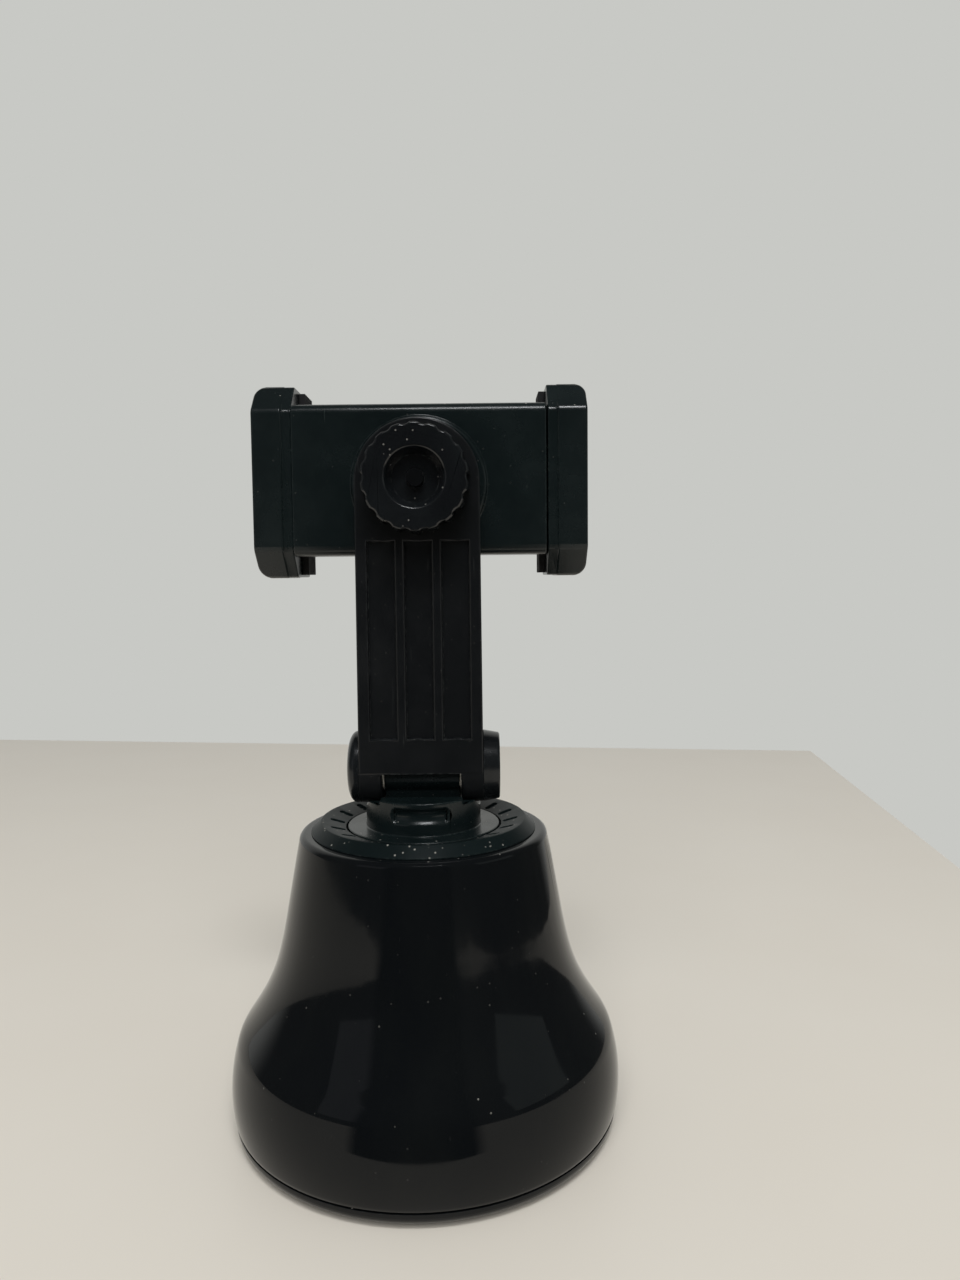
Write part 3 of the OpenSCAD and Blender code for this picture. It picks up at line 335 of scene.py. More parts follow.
def dress(piece, body, slot, material, *nodes):
    """Gives a piece its finish and puts it on its body in place of the CAD nodes."""
    settle()
    piece.data.materials.clear()
    piece.data.materials.append(bpy.data.materials[material])
    for polygon in piece.data.polygons:
        polygon.material_index = 0
    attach(piece, body)
    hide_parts(*nodes)


# Materials

def new_material(name):
    """An empty node material with its shader and its object coordinates."""
    material = bpy.data.materials.new(name)
    material.use_nodes = True
    tree = material.node_tree
    tree.nodes.clear()
    shader = add(tree, "ShaderNodeBsdfPrincipled")
    add(tree, "ShaderNodeOutputMaterial", links={"Surface": shader.outputs["BSDF"]})
    place = add(tree, "ShaderNodeTexCoord").outputs["Object"]
    return tree, shader, place


def moulded_plastic(name, colour, faded, wear_and_highlight, rough, skin, dust, level, stretch=1.0, lying=0.06,
                    speck_mm=0.26):
    """Black ABS from a mould, handled for a while: faded patches, rubbed edges that are paler partly as wear and
    partly as a painted highlight, scuffs, a skin and dust.
    """
    tree, shader, place = new_material(name)
    streak = add(tree, "ShaderNodeMapping", {"Scale": (1, 1, stretch)}, {"Vector": place})
    cloud = add(tree, "ShaderNodeTexNoise", {"Scale": 1 / (14 * MM), "Detail": 5.0, "Roughness": 0.6},
                {"Vector": streak.outputs[0]})
    patch = ramp(tree, cloud.outputs["Fac"], 0.42, 0.72)
    tone = blend(tree, patch, colour, linear(faded))

    # Rubbed edges, paler partly as wear and partly as a painted highlight: where a rounded normal leaves the
    # surface's own, broken up by a noise of about a millimetre
    surface = add(tree, "ShaderNodeNewGeometry")
    rounded = add(tree, "ShaderNodeBevel", {"Radius": 0.5 * MM}, samples=4)
    turn = add(tree, "ShaderNodeVectorMath", links={0: rounded.outputs[0], 1: surface.outputs["Normal"]},
               operation="DOT_PRODUCT")
    edge = ramp(tree, turn.outputs["Value"], 0.985, 0.9)
    grit = add(tree, "ShaderNodeTexNoise", {"Scale": 1 / (0.9 * MM), "Detail": 3.0}, {"Vector": place})
    edge_wear_and_highlight = maths(tree, "MULTIPLY", edge, ramp(tree, grit.outputs["Fac"], 0.45, 0.68))

    # Hairline scuffs of about 0.3 by 6 mm that run up and down, and only here and there
    tall = add(tree, "ShaderNodeMapping", {"Scale": (1, 1, 0.05)}, {"Vector": place})
    hair = add(tree, "ShaderNodeTexNoise", {"Scale": 1 / (0.6 * MM), "Detail": 1.0},
               {"Vector": tall.outputs[0]})
    scuff = ramp(tree, hair.outputs["Fac"], 0.76, 0.86, to=(0.0, 0.6))
    # Edges and scuffs take the paler colour: wear, and on the edges also a painted highlight
    worn_and_highlit = blend(tree, maths(tree, "MAXIMUM", edge_wear_and_highlight, scuff), tone, linear(wear_and_highlight))

    # Dust lies mostly where the surface faces up: small cells, of which few hold a speck
    cells = add(tree, "ShaderNodeTexVoronoi", {"Scale": 0.2 / (speck_mm * MM)}, {"Vector": place})
    speck = ramp(tree, cells.outputs["Distance"], 0.2, 0.08)
    chance = add(tree, "ShaderNodeSeparateColor", links={"Color": cells.outputs["Color"]})
    kept = maths(tree, "GREATER_THAN", chance.outputs["Red"], 1.0 - dust)
    upward = add(tree, "ShaderNodeSeparateXYZ", links={"Vector": surface.outputs["Normal"]})
    facing = ramp(tree, upward.outputs["Z"], 0.2, 0.9, to=(lying, 1.0))
    dusty = maths(tree, "MULTIPLY", maths(tree, "MULTIPLY", speck, kept), facing)
    feed(tree, shader.inputs["Base Color"], blend(tree, dusty, worn_and_highlit, linear("#8d8c86")))

    haze = ramp(tree, patch, 0.0, 1.0, to=rough)
    scored = maths(tree, "MULTIPLY_ADD", scuff, 0.2, haze)
    feed(tree, shader.inputs["Roughness"], maths(tree, "MULTIPLY_ADD", dusty, 0.5, scored, use_clamp=True))
    grain = add(tree, "ShaderNodeTexNoise", {"Scale": 1 / (skin[0] * MM), "Detail": 2.0}, {"Vector": place})
    bump = add(tree, "ShaderNodeBump", {"Strength": 1.0, "Distance": skin[1] * MM},
               {"Height": grain.outputs["Fac"]})
    feed(tree, shader.inputs["Normal"], bump.outputs["Normal"])
    shader.inputs["IOR"].default_value = 1.53
    shader.inputs["Specular IOR Level"].default_value = level


def metal(name, colour, roughness, grain_mm):
    """A plain metal with fine tool marks that dull it unevenly."""
    tree, shader, place = new_material(name)
    marks = add(tree, "ShaderNodeTexNoise", {"Scale": 1 / (grain_mm * MM), "Detail": 3.0}, {"Vector": place})
    rough = ramp(tree, marks.outputs["Fac"], 0.0, 1.0, to=(roughness - 0.08, roughness + 0.12))
    feed(tree, shader.inputs["Roughness"], rough)
    bump = add(tree, "ShaderNodeBump", {"Strength": 0.4, "Distance": 0.02 * MM},
               {"Height": marks.outputs["Fac"]})
    feed(tree, shader.inputs["Normal"], bump.outputs["Normal"])
    shader.inputs["Base Color"].default_value = linear(colour)
    shader.inputs["Metallic"].default_value = 1.0


def plain(name, colour, shade, roughness, grain_mm):
    """A dull material whose colour and skin vary at one grain."""
    tree, shader, place = new_material(name)
    grain = add(tree, "ShaderNodeTexNoise", {"Scale": 1 / (grain_mm * MM), "Detail": 4.0}, {"Vector": place})
    feed(tree, shader.inputs["Base Color"], blend(tree, grain.outputs["Fac"], colour, linear(shade)))
    rough = ramp(tree, grain.outputs["Fac"], 0.0, 1.0, to=(roughness - 0.06, roughness + 0.06))
    feed(tree, shader.inputs["Roughness"], rough)
    bump = add(tree, "ShaderNodeBump", {"Strength": 0.5, "Distance": 0.03 * MM},
               {"Height": grain.outputs["Fac"]})
    feed(tree, shader.inputs["Normal"], bump.outputs["Normal"])


class HOLDER_OT_finishes(bpy.types.Operator):
    """Makes the finishes and gives each CAD node that stays in view the one of its slot"""

    bl_idname = "holder.finishes"
    bl_label = "Finishes"

    def execute(self, context):
        c = context.scene.holder_colours
        # High-gloss ABS: a mirror-like black with a faint orange peel, hazed in upright streaks where wiped
        moulded_plastic("gloss ABS, polished mould", c.gloss, "#0d0f10", "#1f2122", rough=(0.045, 0.13),
                        skin=(7.0, 0.01), dust=0.05, level=0.22, stretch=0.25)
        # The caps' ABS: gloss that fingers have dulled
        moulded_plastic("gloss ABS, dulled by handling", c.satin, "#121517", "#26292a", rough=(0.18, 0.28),
                        skin=(1.5, 0.008), dust=0.04, level=0.4)
        # Satin ABS: a spark-eroded skin, drawn coarser than the real 0.1 mm so that it shows
        moulded_plastic("satin ABS, fine spark-eroded skin", c.satin, "#111315", "#303333", rough=(0.3, 0.4),
                        skin=(0.4, 0.01), dust=0.16, level=0.4)
        # The dial's ABS: a dull skin with a green cast, and the dust that has settled round the drum
        moulded_plastic("dull ABS, dust settled on it", c.green, "#0f1718", "#2c3433", rough=(0.34, 0.44),
                        skin=(0.4, 0.01), dust=0.45, level=0.1, speck_mm=0.3)
        # ABS of the clamp and the turntable: a smoother satin with a green cast, worn paler in patches
        moulded_plastic("satin ABS, smooth skin", c.green, "#0f1718", "#2c3433", rough=(0.22, 0.32),
                        skin=(0.6, 0.006), dust=0.06, level=0.4)
        # Knob ABS: a brighter satin, with dust held in its recess and scallops
        moulded_plastic("satin ABS, dusty skin", c.satin, "#121517", "#303333", rough=(0.17, 0.27),
                        skin=(0.5, 0.008), dust=0.1, level=0.5, lying=0.45)
        # ABS that is out of sight: grey-black, with the mould's dull skin
        moulded_plastic("black ABS, as moulded", linear("#16181a"), "#1d2022", "#505354", rough=(0.45, 0.55),
                        skin=(0.5, 0.02), dust=0.0, level=0.5)
        # Rubber: dead matt with a fine bloom
        plain("black rubber, matt", c.rubber, "#212122", 0.8, 0.5)
        plain("white nylon, moulded", linear("#e6e3da"), "#dad6ca", 0.45, 1.2)
        plain("printed film on a battery can", linear("#8a6a35"), "#7c5d2c", 0.35, 3.0)
        plain("green laminate, solder-masked", linear("#1f5c3a"), "#184c2f", 0.4, 1.5)
        plain("red vinyl wire", linear("#a02820"), "#8c2019", 0.5, 1.0)
        metal("zinc-plated steel", "#b9bcc2", 0.32, 0.4)
        metal("turned brass", "#c9a353", 0.28, 0.3)
        metal("black-oxide steel", "#3a3d40", 0.35, 0.4)
        finish = {
            "gloss_black_abs": "gloss ABS, polished mould",
            "satin_black_abs": "satin ABS, fine spark-eroded skin",
            "inner_black_abs": "black ABS, as moulded",
            "black_rubber": "black rubber, matt",
            "zinc_steel": "zinc-plated steel",
            "turned_brass": "turned brass",
            "black_steel": "black-oxide steel",
            "white_nylon": "white nylon, moulded",
            "cell_can": "printed film on a battery can",
            "green_laminate": "green laminate, solder-masked",
            "red_wire": "red vinyl wire",
        }
        for row in frame["record"]["subparts"]:
            node = frame["nodes"][row["node"]]
            node.data.materials.clear()
            node.data.materials.append(bpy.data.materials[finish[row["material_slot"]]])
        return {"FINISHED"}


class HOLDER_OT_bell(bpy.types.Operator):
    """Turns the hollow bell: belly, shoulder, flare, rounded top edge, roof and the turntable's pocket"""

    bl_idname = "holder.bell"
    bl_label = "Bell"

    def execute(self, context):
        s = context.scene.holder_sizes
        radius, top_radius, wall = (v / MM for v in (s.bell_radius, s.bell_top_radius, s.bell_wall))
        bottom, top, edge = 4.3, 71.0, 1.5
        shoulder_z = 21.0
        foot = (radius - 0.7, bottom)
        shoulder = (radius - 1.5, shoulder_z)
        flare_foot = (radius - 3.8, shoulder_z + 4.4)
        flare_top = (top_radius, top - edge)
        outside = (curve(foot, (radius + 0.5, bottom + 5.6), (radius + 0.1, shoulder_z - 5.6), shoulder, 16)
                   + curve(shoulder, along(shoulder, 104, 1.6), along(flare_foot, 125, -1.6), flare_foot, 8)
                   + curve(flare_foot, along(flare_foot, 125, 16), along(flare_top, 101, -26), flare_top, 32))
        inside = [p for p in inset(outside, wall)[::4] if p[1] < top - wall - 0.3]
        rounded = arc((flare_top[0] - edge, flare_top[1]), edge, 0, 90, 8)
        pocket, pocket_z, hole = 19.2, 69.0, 9.02
        roof = [(pocket, top), (pocket, pocket_z), (hole, pocket_z), (hole, pocket_z - wall),
                (pocket + wall, pocket_z - wall), (pocket + wall, top - wall), (inside[-1][0], top - wall)]
        lip = [(foot[0] - 0.3, bottom), (foot[0], bottom + 0.3)]
        outline = lip[1:] + outside[1:] + rounded + roof + inside[::-1] + lip
        bell = turned("bell", outline, segments=192, closed=True)
        soften(bell, 0)
        dress(bell, "base", "gloss_black_abs", "gloss ABS, polished mould", "bell_shell")
        return {"FINISHED"}


class HOLDER_OT_dial(bpy.types.Operator):
    """Turns the dished dial plate with its raised rim and cuts its marks, five on each side"""

    bl_idname = "holder.dial"
    bl_label = "Dial plate"

    def execute(self, context):
        s = context.scene.holder_sizes
        rim, half = s.dial_radius / MM, s.mark_width / MM / 2
        hole, foot, lip, bottom, top, dish = 19.0, 27.4, 0.4, 71.0, 73.6, 1.6
        dial = turned("dial", [(hole, bottom), (foot, bottom), (foot, bottom + 0.3), (rim, top),
                               (rim - lip, top), (hole, top - dish), (hole, bottom)], segments=160, closed=True)
        rise = dish / (rim - lip - hole)
        start, end = hole + 0.5, rim - lip - 1.4
        face = top - dish + (start - hole) * rise
        mark = block("mark", (start, -half, face - 0.6), (end, half, face + 1))
        pick(mark, "EDGE", lambda m, ends: abs(ends[0].z - ends[1].z) > 0.1)
        bpy.ops.mesh.bevel(offset=half * 0.95 * MM, segments=5, affect="EDGES")
        mark = copies(mark, [(-math.degrees(math.atan(rise)), "Y", (start, 0, face))])
        turns = [side + step * 19 for side in (0, 180) for step in (-2, -1, 0, 1, 2)]
        shape(dial, copies(mark, [(turn, "Z", (0, 0, 0)) for turn in turns]))
        soften(dial, 0.15, segments=2)
        dress(dial, "base", "satin_black_abs", "dull ABS, dust settled on it", "dial_plate")
        return {"FINISHED"}


class HOLDER_OT_turntable(bpy.types.Operator):
    """Turns the disc and drum, and adds the saddle, neck and hinge barrel with the recess in front"""

    bl_idname = "holder.turntable"
    bl_label = "Turntable"

    def execute(self, context):
        s = context.scene.holder_sizes
        drum = s.drum_radius / MM
        disc_top, shoulder_top, saddle_top, half = 72.2, 79.0, 80.0, 9.1
        peg, peg_end, hub, hub_end, disc, seat = 4, 60.6, 6, 64.6, 18.6, 69.4
        outline = [(peg, peg_end), (peg, hub_end), (hub, hub_end), (hub, seat), (disc, seat), (disc, disc_top),
                   (drum, disc_top), (drum, shoulder_top)]
        table = turned("turning_top", outline, segments=160)
        saddle = block("saddle", (-half - 0.7, -drum - 1, disc_top + 1), (half + 0.7, drum + 1, saddle_top))
        shape(saddle, rod("round", (0, 0, disc_top), (0, 0, saddle_top + 1), drum, 160), "INTERSECT")
        shape(table, saddle, "UNION")
        cove, neck, barrel, bore, screw, flat = 9.2, 3.3, 6.2, 2.05, 1.52, 3.2
        shape(table, rod("cove", (-20, 0, HINGE_Z), (20, 0, HINGE_Z), cove, 96))
        shape(table, block("neck", (-half, -neck, 75), (half, neck, HINGE_Z)), "UNION")
        shape(table, rod("barrel", (-half, 0, HINGE_Z), (half, 0, HINGE_Z), barrel, 96), "UNION")
        shape(table, rod("bore", (-20, 0, HINGE_Z), (20, 0, HINGE_Z), bore, 48))
        shape(table, rod("screw hole", (0, 0, 50), (0, 0, 68.6), screw, 32))
        shape(table, block("flat", (-5, flat, 50), (5, 8, hub_end)))
        # The recess in front is a scoop that follows the drum, with a round end on each side
        scoop, deep, slot_z, reach = 2.3, 0.9, 76.9, math.radians(23)
        ring = drum - deep + scoop
        trough = begin("trough", bpy.ops.mesh.primitive_torus_add, major_radius=ring * MM,
                       minor_radius=scoop * MM, major_segments=160, minor_segments=40,
                       location=(0, 0, slot_z * MM))
        wide = ring * math.sin(reach)
        shape(trough, block("middle", (-wide, -30, slot_z - 5), (wide, 0, slot_z + 5)), "INTERSECT")
        shape(table, trough)
        for side in (-1, 1):
            end = begin("round end", bpy.ops.mesh.primitive_uv_sphere_add, segments=40, ring_count=24,
                        radius=scoop * MM,
                        location=(side * wide * MM, -ring * math.cos(reach) * MM, slot_z * MM))
            shape(table, end)
        soften(table, s.edge / MM)
        dress(table, "head", "satin_black_abs", "satin ABS, smooth skin", "turntable")
        return {"FINISHED"}


class HOLDER_OT_arm(bpy.types.Operator):
    """Draws the arm's round-ended front, thickens it, and cuts the fork and the three long grooves"""

    bl_idname = "holder.arm"
    bl_label = "Arm"

    def execute(self, context):
        s = context.scene.holder_sizes
        half, thick, knuckle = s.arm_width / MM / 2, 7.5, 8.7
        foot_half = half + 0.2
        front = ARM_BACK - thick
        arm = begin("arm", bpy.ops.mesh.primitive_circle_add, vertices=128, radius=half * MM,
                    fill_type="NOTHING", location=(0, ARM_BACK * MM, PIVOT_Z * MM),
                    rotation=(math.radians(90), 0, 0))
        pick(arm, "VERT", lambda m, ends: m.z < PIVOT_Z - 0.01)
        bpy.ops.mesh.delete(type="VERT")
        pick(arm, "VERT", lambda m, ends: m.z < PIVOT_Z + 0.01)
        bpy.ops.mesh.extrude_vertices_move(TRANSFORM_OT_translate={"value": (0, 0, (HINGE_Z - PIVOT_Z) * MM)})
        bpy.ops.transform.resize(value=(foot_half / half, 1, 1), center_override=(0, 0, HINGE_Z * MM))
        bpy.ops.mesh.select_all(action="SELECT")
        bpy.ops.mesh.edge_face_add()
        bpy.ops.mesh.extrude_region_move(TRANSFORM_OT_translate={"value": (0, (front - ARM_BACK) * MM, 0)})
        bpy.ops.mesh.select_all(action="SELECT")
        bpy.ops.mesh.normals_make_consistent(inside=False)
        shape(arm, rod("knuckle", (-foot_half, 0, HINGE_Z), (foot_half, 0, HINGE_Z), knuckle, 128), "UNION")
        gap = 9.5
        shape(arm, rod("barrel room", (-gap, 0, HINGE_Z), (gap, 0, HINGE_Z), 6.6, 96))
        shape(arm, block("gap below", (-gap, -20, HINGE_Z - 20), (gap, 20, HINGE_Z - 0.3)))
        shape(arm, block("gap behind", (-gap, ARM_BACK, HINGE_Z - 20), (gap, 20, HINGE_Z + knuckle + 0.3)))
        depth, pitch, wide, low, high = s.groove_depth / MM, 8.7, 3.2, HINGE_Z + 8, PIVOT_Z - 14
        for x in (-pitch, 0, pitch):
            shape(arm, block("groove", (x - wide, front - 3, low), (x + wide, front + depth, high)))
        shape(arm, rod("bolt hole", (-20, 0, HINGE_Z), (20, 0, HINGE_Z), 2.02, 48))
        shape(arm, rod("stud hole", (0, -20, PIVOT_Z), (0, 20, PIVOT_Z), 2.05, 48))
        # The prongs' inner front edges are rounder than the rest
        soften(arm, 0)
        pick(arm, "EDGE", lambda m, ends: abs(abs(m.x) - gap) < 0.02 and m.y < -3 and m.z < HINGE_Z - 0.4
             and abs(ends[0].x - ends[1].x) < 0.02, bend=30)
        bpy.ops.mesh.bevel(offset=0.8 * MM, segments=4, affect="EDGES")
        soften(arm, s.edge / MM,
               only=lambda m, ends: m.z > HINGE_Z + 1 and all(abs(p.y - front) < 0.02 for p in ends))
        dress(arm, "arm", "satin_black_abs", "satin ABS, fine spark-eroded skin", "swing_arm")
        return {"FINISHED"}


class HOLDER_OT_caps(bpy.types.Operator):
    """Turns the rounded left hinge cap and the flat right one"""

    bl_idname = "holder.caps"
    bl_label = "Hinge caps"

    def execute(self, context):
        r, half = 8.7, 14.8
        dome = [(r - 3.4 + 3.4 * x, 3.1 - 2 + 2 * z) for x, z in arc((0, 0), 1, 0, 90, 16)]
        left = turned("left cap", [(3.9, 2.3), (3.9, 0), (r - 0.15, 0), (r, 0.15)] + dome + [(3, 3.1)],
                      segments=128, turn=(0, -90, 0), place=(-half, 0, HINGE_Z))
        end = r - 0.6
        right = turned("right cap", [(4.3, 2.9), (4.3, 0), (r - 0.15, 0), (r, 0.15)]
                       + arc((end - 0.6, 4.0 - 0.6), 0.6, 0, 90, 6) + [(3, 4.0)],
                       segments=128, turn=(0, 90, 0), place=(half, 0, HINGE_Z))
        for cap, node in ((left, "left_hinge_cap"), (right, "right_hinge_cap")):
            cap.name = cap.name.replace(" ", "_")
            soften(cap, 0)
            dress(cap, "arm", "gloss_black_abs", "gloss ABS, dulled by handling", node)
        return {"FINISHED"}


class HOLDER_OT_housing(bpy.types.Operator):
    """Rounds the clamp's hollow bar, opens its ends for the jaws and adds the boss round the pivot"""

    bl_idname = "holder.housing"
    bl_label = "Clamp housing"

    def execute(self, context):
        s = context.scene.holder_sizes
        end, half, depth, wall = 30.8, 18.3, 8.4, 1.8
        rear, front = SPINE_REAR, SPINE_REAR + depth
        bar = block("clamp_bar", (-end, rear, CLAMP_Z - half), (end, front, CLAMP_Z + half))
        pick(bar, "EDGE", lambda m, ends: abs(ends[0].x - ends[1].x) > 1 and m.y < rear + 0.1)
        bpy.ops.mesh.bevel(offset=2.5 * MM, segments=8, affect="EDGES")
        shape(bar, block("inside", (-end + 2, rear + wall, CLAMP_Z - half + wall),
                         (end - 2, front + 1, CLAMP_Z + half - wall)))
        boss = turned("boss", [(15.9, 0), (16.4, 0.5), (16.4, 2)], segments=128, turn=(-90, 0, 0),
                      place=(0, rear - 1, PIVOT_Z))
        shape(bar, boss, "UNION")
        loose, tight = 8.3, 8.02
        shape(bar, block("right slot", (end - 3, rear + 3.7, CLAMP_Z - loose),
                         (end + 1, rear + 7.1, CLAMP_Z + loose)))
        shape(bar, block("left slot", (-end - 1, rear + 4, CLAMP_Z - tight),
                         (-end + 3, rear + 6.82, CLAMP_Z + tight)))
        shape(bar, rod("stud hole", (0, -20, PIVOT_Z), (0, rear + wall + 0.5, PIVOT_Z), 2.02, 48))
        soften(bar, s.edge / MM)
        dress(bar, "clamp", "satin_black_abs", "satin ABS, smooth skin", "clamp_housing")
        return {"FINISHED"}


def jaw(name, inner, side):
    """One jaw: a chamfered cap and its inset inner band, drawn from the rear face to the hook."""
    width, band, rear_half, tall = 9.6, 2.3, 16.8, 23.6

    def slab(part, x0, x1, inset_by, rear_by):
        stations = [(SPINE_REAR + rear_by, rear_half), (SPINE_REAR + 6.5, tall), (SPINE_REAR + 21.5, tall),
                    (SPINE_REAR + 25.0, tall - 3.5)]
        y, h = stations[0]
        middle = [(x0 + x1) / 2 * MM, y * MM, CLAMP_Z * MM]
        made = begin(part, bpy.ops.mesh.primitive_plane_add, size=MM, rotation=(math.radians(90), 0, 0),
                     location=middle)
        bpy.ops.object.mode_set(mode="EDIT")
        bpy.ops.mesh.select_all(action="SELECT")
        bpy.ops.transform.resize(value=(abs(x1 - x0), 1, 2 * (h - inset_by)), center_override=middle)
        for next_y, next_h in stations[1:]:
            bpy.ops.mesh.extrude_region_move(TRANSFORM_OT_translate={"value": (0, (next_y - y) * MM, 0)})
            scale = (next_h - inset_by) / (h - inset_by)
            bpy.ops.transform.resize(value=(1, 1, scale), center_override=(0, next_y * MM, CLAMP_Z * MM))
            y, h = next_y, next_h
        bpy.ops.mesh.select_all(action="SELECT")
        bpy.ops.mesh.normals_make_consistent(inside=False)
        return made

    def crossing(m, ends):
        """Tells the edges that run across the jaw, between its rear face and its slopes, and above them."""
        return abs(ends[0].x - ends[1].x) > 1 and m.y < SPINE_REAR + 8

    outer = inner + side * width
    cap = slab(name, inner + side * band, outer, 0, 0)
    pick(cap, "EDGE", crossing)
    bpy.ops.mesh.bevel(offset=0.9 * MM, segments=5, affect="EDGES")
    sides = block("side view", (inner, SPINE_REAR - 1, CLAMP_Z - tall),
                  (outer, SPINE_REAR + 26, CLAMP_Z + tall))
    pick(sides, "EDGE", lambda m, ends: abs(m.x - outer) < 0.05 and abs(ends[0].y - ends[1].y) > 1)
    bpy.ops.mesh.bevel(offset=3 * MM, segments=10, affect="EDGES")
    shape(cap, sides, "INTERSECT")
    soften(cap, 0.5, segments=4, angle=25)
    strip = slab("band", inner, inner + side * (band + 2), 0.15, 0.5)
    pick(strip, "EDGE", crossing)
    bpy.ops.mesh.bevel(offset=0.7 * MM, segments=4, affect="EDGES")
    shape(cap, soften(strip, 0.3), "UNION")
    tip, hook_half = inner - side * 2.8, 17
    hook = block("hook", (tip, SPINE_REAR + 21.6, CLAMP_Z - hook_half),
                 (inner + side * 1, SPINE_REAR + 25, CLAMP_Z + hook_half))
    pick(hook, "EDGE", lambda m, ends: abs(m.x - tip) < 0.05 and abs(ends[0].z - ends[1].z) > 1)
    bpy.ops.mesh.bevel(offset=1.2 * MM, segments=4, affect="EDGES")
    return shape(cap, soften(hook, 0.3), "UNION")


class HOLDER_OT_jaws(bpy.types.Operator):
    """Models the fixed jaw with its tenon and the sliding jaw with its tongue"""

    bl_idname = "holder.jaws"
    bl_label = "Jaws"

    def execute(self, context):
        s = context.scene.holder_sizes
        rear, front = SPINE_REAR + 4.0, SPINE_REAR + 6.8
        fixed = jaw("left_jaw", -30.8, -1)
        shape(fixed, block("tenon", (-31.8, rear, CLAMP_Z - 8), (-22.1, front, CLAMP_Z + 8)), "UNION")
        for z in (-4, 4):
            shape(fixed, rod("screw hole", (-25.3, 0, CLAMP_Z + z), (-25.3, 20, CLAMP_Z + z), 1.02, 32))
        sliding = jaw("right_jaw", 31.2, 1)
        tongue = block("tongue", (-21.8, rear, CLAMP_Z - 8), (32.6, front, CLAMP_Z + 8))
        shape(sliding, soften(tongue, s.edge / MM), "UNION")
        shape(sliding, block("ears", (-21.8, rear, CLAMP_Z - 15.2), (-19.3, front, CLAMP_Z + 15.2)), "UNION")
        for piece, body, node in ((fixed, "clamp", "fixed_jaw"), (sliding, "slider", "sliding_jaw")):
            soften(piece, 0)
            dress(piece, body, "satin_black_abs", "satin ABS, smooth skin", node)
        return {"FINISHED"}


class HOLDER_OT_pads(bpy.types.Operator):
    """Models the ribbed rubber pads that the phone lies on"""

    bl_idname = "holder.pads"
    bl_label = "Pads"

    def ribbed(self, name, low, high, across, out, ribs):
        """A pad with ribs across it: its length is divided, and every second strip is raised."""
        axis, sign = out
        base_low, base_high = list(low), list(high)
        rise = 0.5
        if sign > 0:
            base_high[axis] -= rise
        else:
            base_low[axis] += rise
        pad = block(name, base_low, base_high)
        step = (high[across] - low[across]) / (2 * ribs + 1)
        pick(pad, "EDGE", lambda m, ends: abs(ends[0][across] - ends[1][across]) > 1)
        bpy.ops.mesh.subdivide(number_cuts=2 * ribs)
        face = base_high[axis] if sign > 0 else base_low[axis]
        pick(pad, "FACE", lambda m, ends: abs(m[axis] - face) < 0.01
             and int((m[across] - low[across]) / step) % 2 == 0)
        move = [0, 0, 0]
        move[axis] = sign * rise * MM
        bpy.ops.mesh.extrude_region_move(TRANSFORM_OT_translate={"value": move})
        bpy.ops.mesh.select_all(action="SELECT")
        bpy.ops.mesh.remove_doubles(threshold=0.001 * MM)
        return soften(pad, 0.15, segments=2)

    def execute(self, context):
        flat, rear, front, tall = 14.3, 12.5, 22.18, 22.8
        back = self.ribbed("back_rubber", (-24.2, 10.6, CLAMP_Z - flat), (24.2, 12.0, CLAMP_Z + flat),
                           across=2, out=(1, 1), ribs=7)
        left = self.ribbed("left_rubber", (-30.8, rear, CLAMP_Z - tall), (-29.2, front, CLAMP_Z + tall),
                           across=1, out=(0, 1), ribs=5)
        right = self.ribbed("right_rubber", (29.6, rear, CLAMP_Z - tall), (31.2, front, CLAMP_Z + tall),
                            across=1, out=(0, -1), ribs=5)
        dress(back, "clamp", "black_rubber", "black rubber, matt", "back_pad")
        dress(left, "clamp", "black_rubber", "black rubber, matt", "fixed_jaw_pad")
        dress(right, "slider", "black_rubber", "black rubber, matt", "sliding_jaw_pad")
        return {"FINISHED"}


class HOLDER_OT_knob(bpy.types.Operator):
    """Turns the lock knob with its conical recess and cuts its scallops"""

    bl_idname = "holder.knob"
    bl_label = "Lock knob"

    def execute(self, context):
        s = context.scene.holder_sizes
        r, high, floor, seat = s.knob_radius / MM, 8.5, 4.4, -9.0
        knob = turned("knob", [(2.05, floor), (2.05, 3.4), (4.3, 3.4), (4.3, 0), (r, 0), (r, high / 2),
                               (r - 0.5, high), (6.8, high), (5.5, floor), (2.05, floor)],
                      segments=9 * s.knob_scallops, closed=True, turn=(90, 0, 0), place=(0, seat, PIVOT_Z))
        cutter = rod("scallop", (r + 2 - 0.9, -8, PIVOT_Z), (r + 2 - 0.9, -19, PIVOT_Z), 2.0, 48)
        count = s.knob_scallops
        cutters = copies(cutter, [(360 * i / count, "Y", (0, 0, PIVOT_Z)) for i in range(count)])
        shape(knob, cutters)
        soften(knob, 1.5 * s.edge / MM, segments=4,
               only=lambda m, ends: all(p.y < seat - high + 0.1 for p in ends))
        dress(knob, "knob", "satin_black_abs", "satin ABS, dusty skin", "lock_knob")
        return {"FINISHED"}


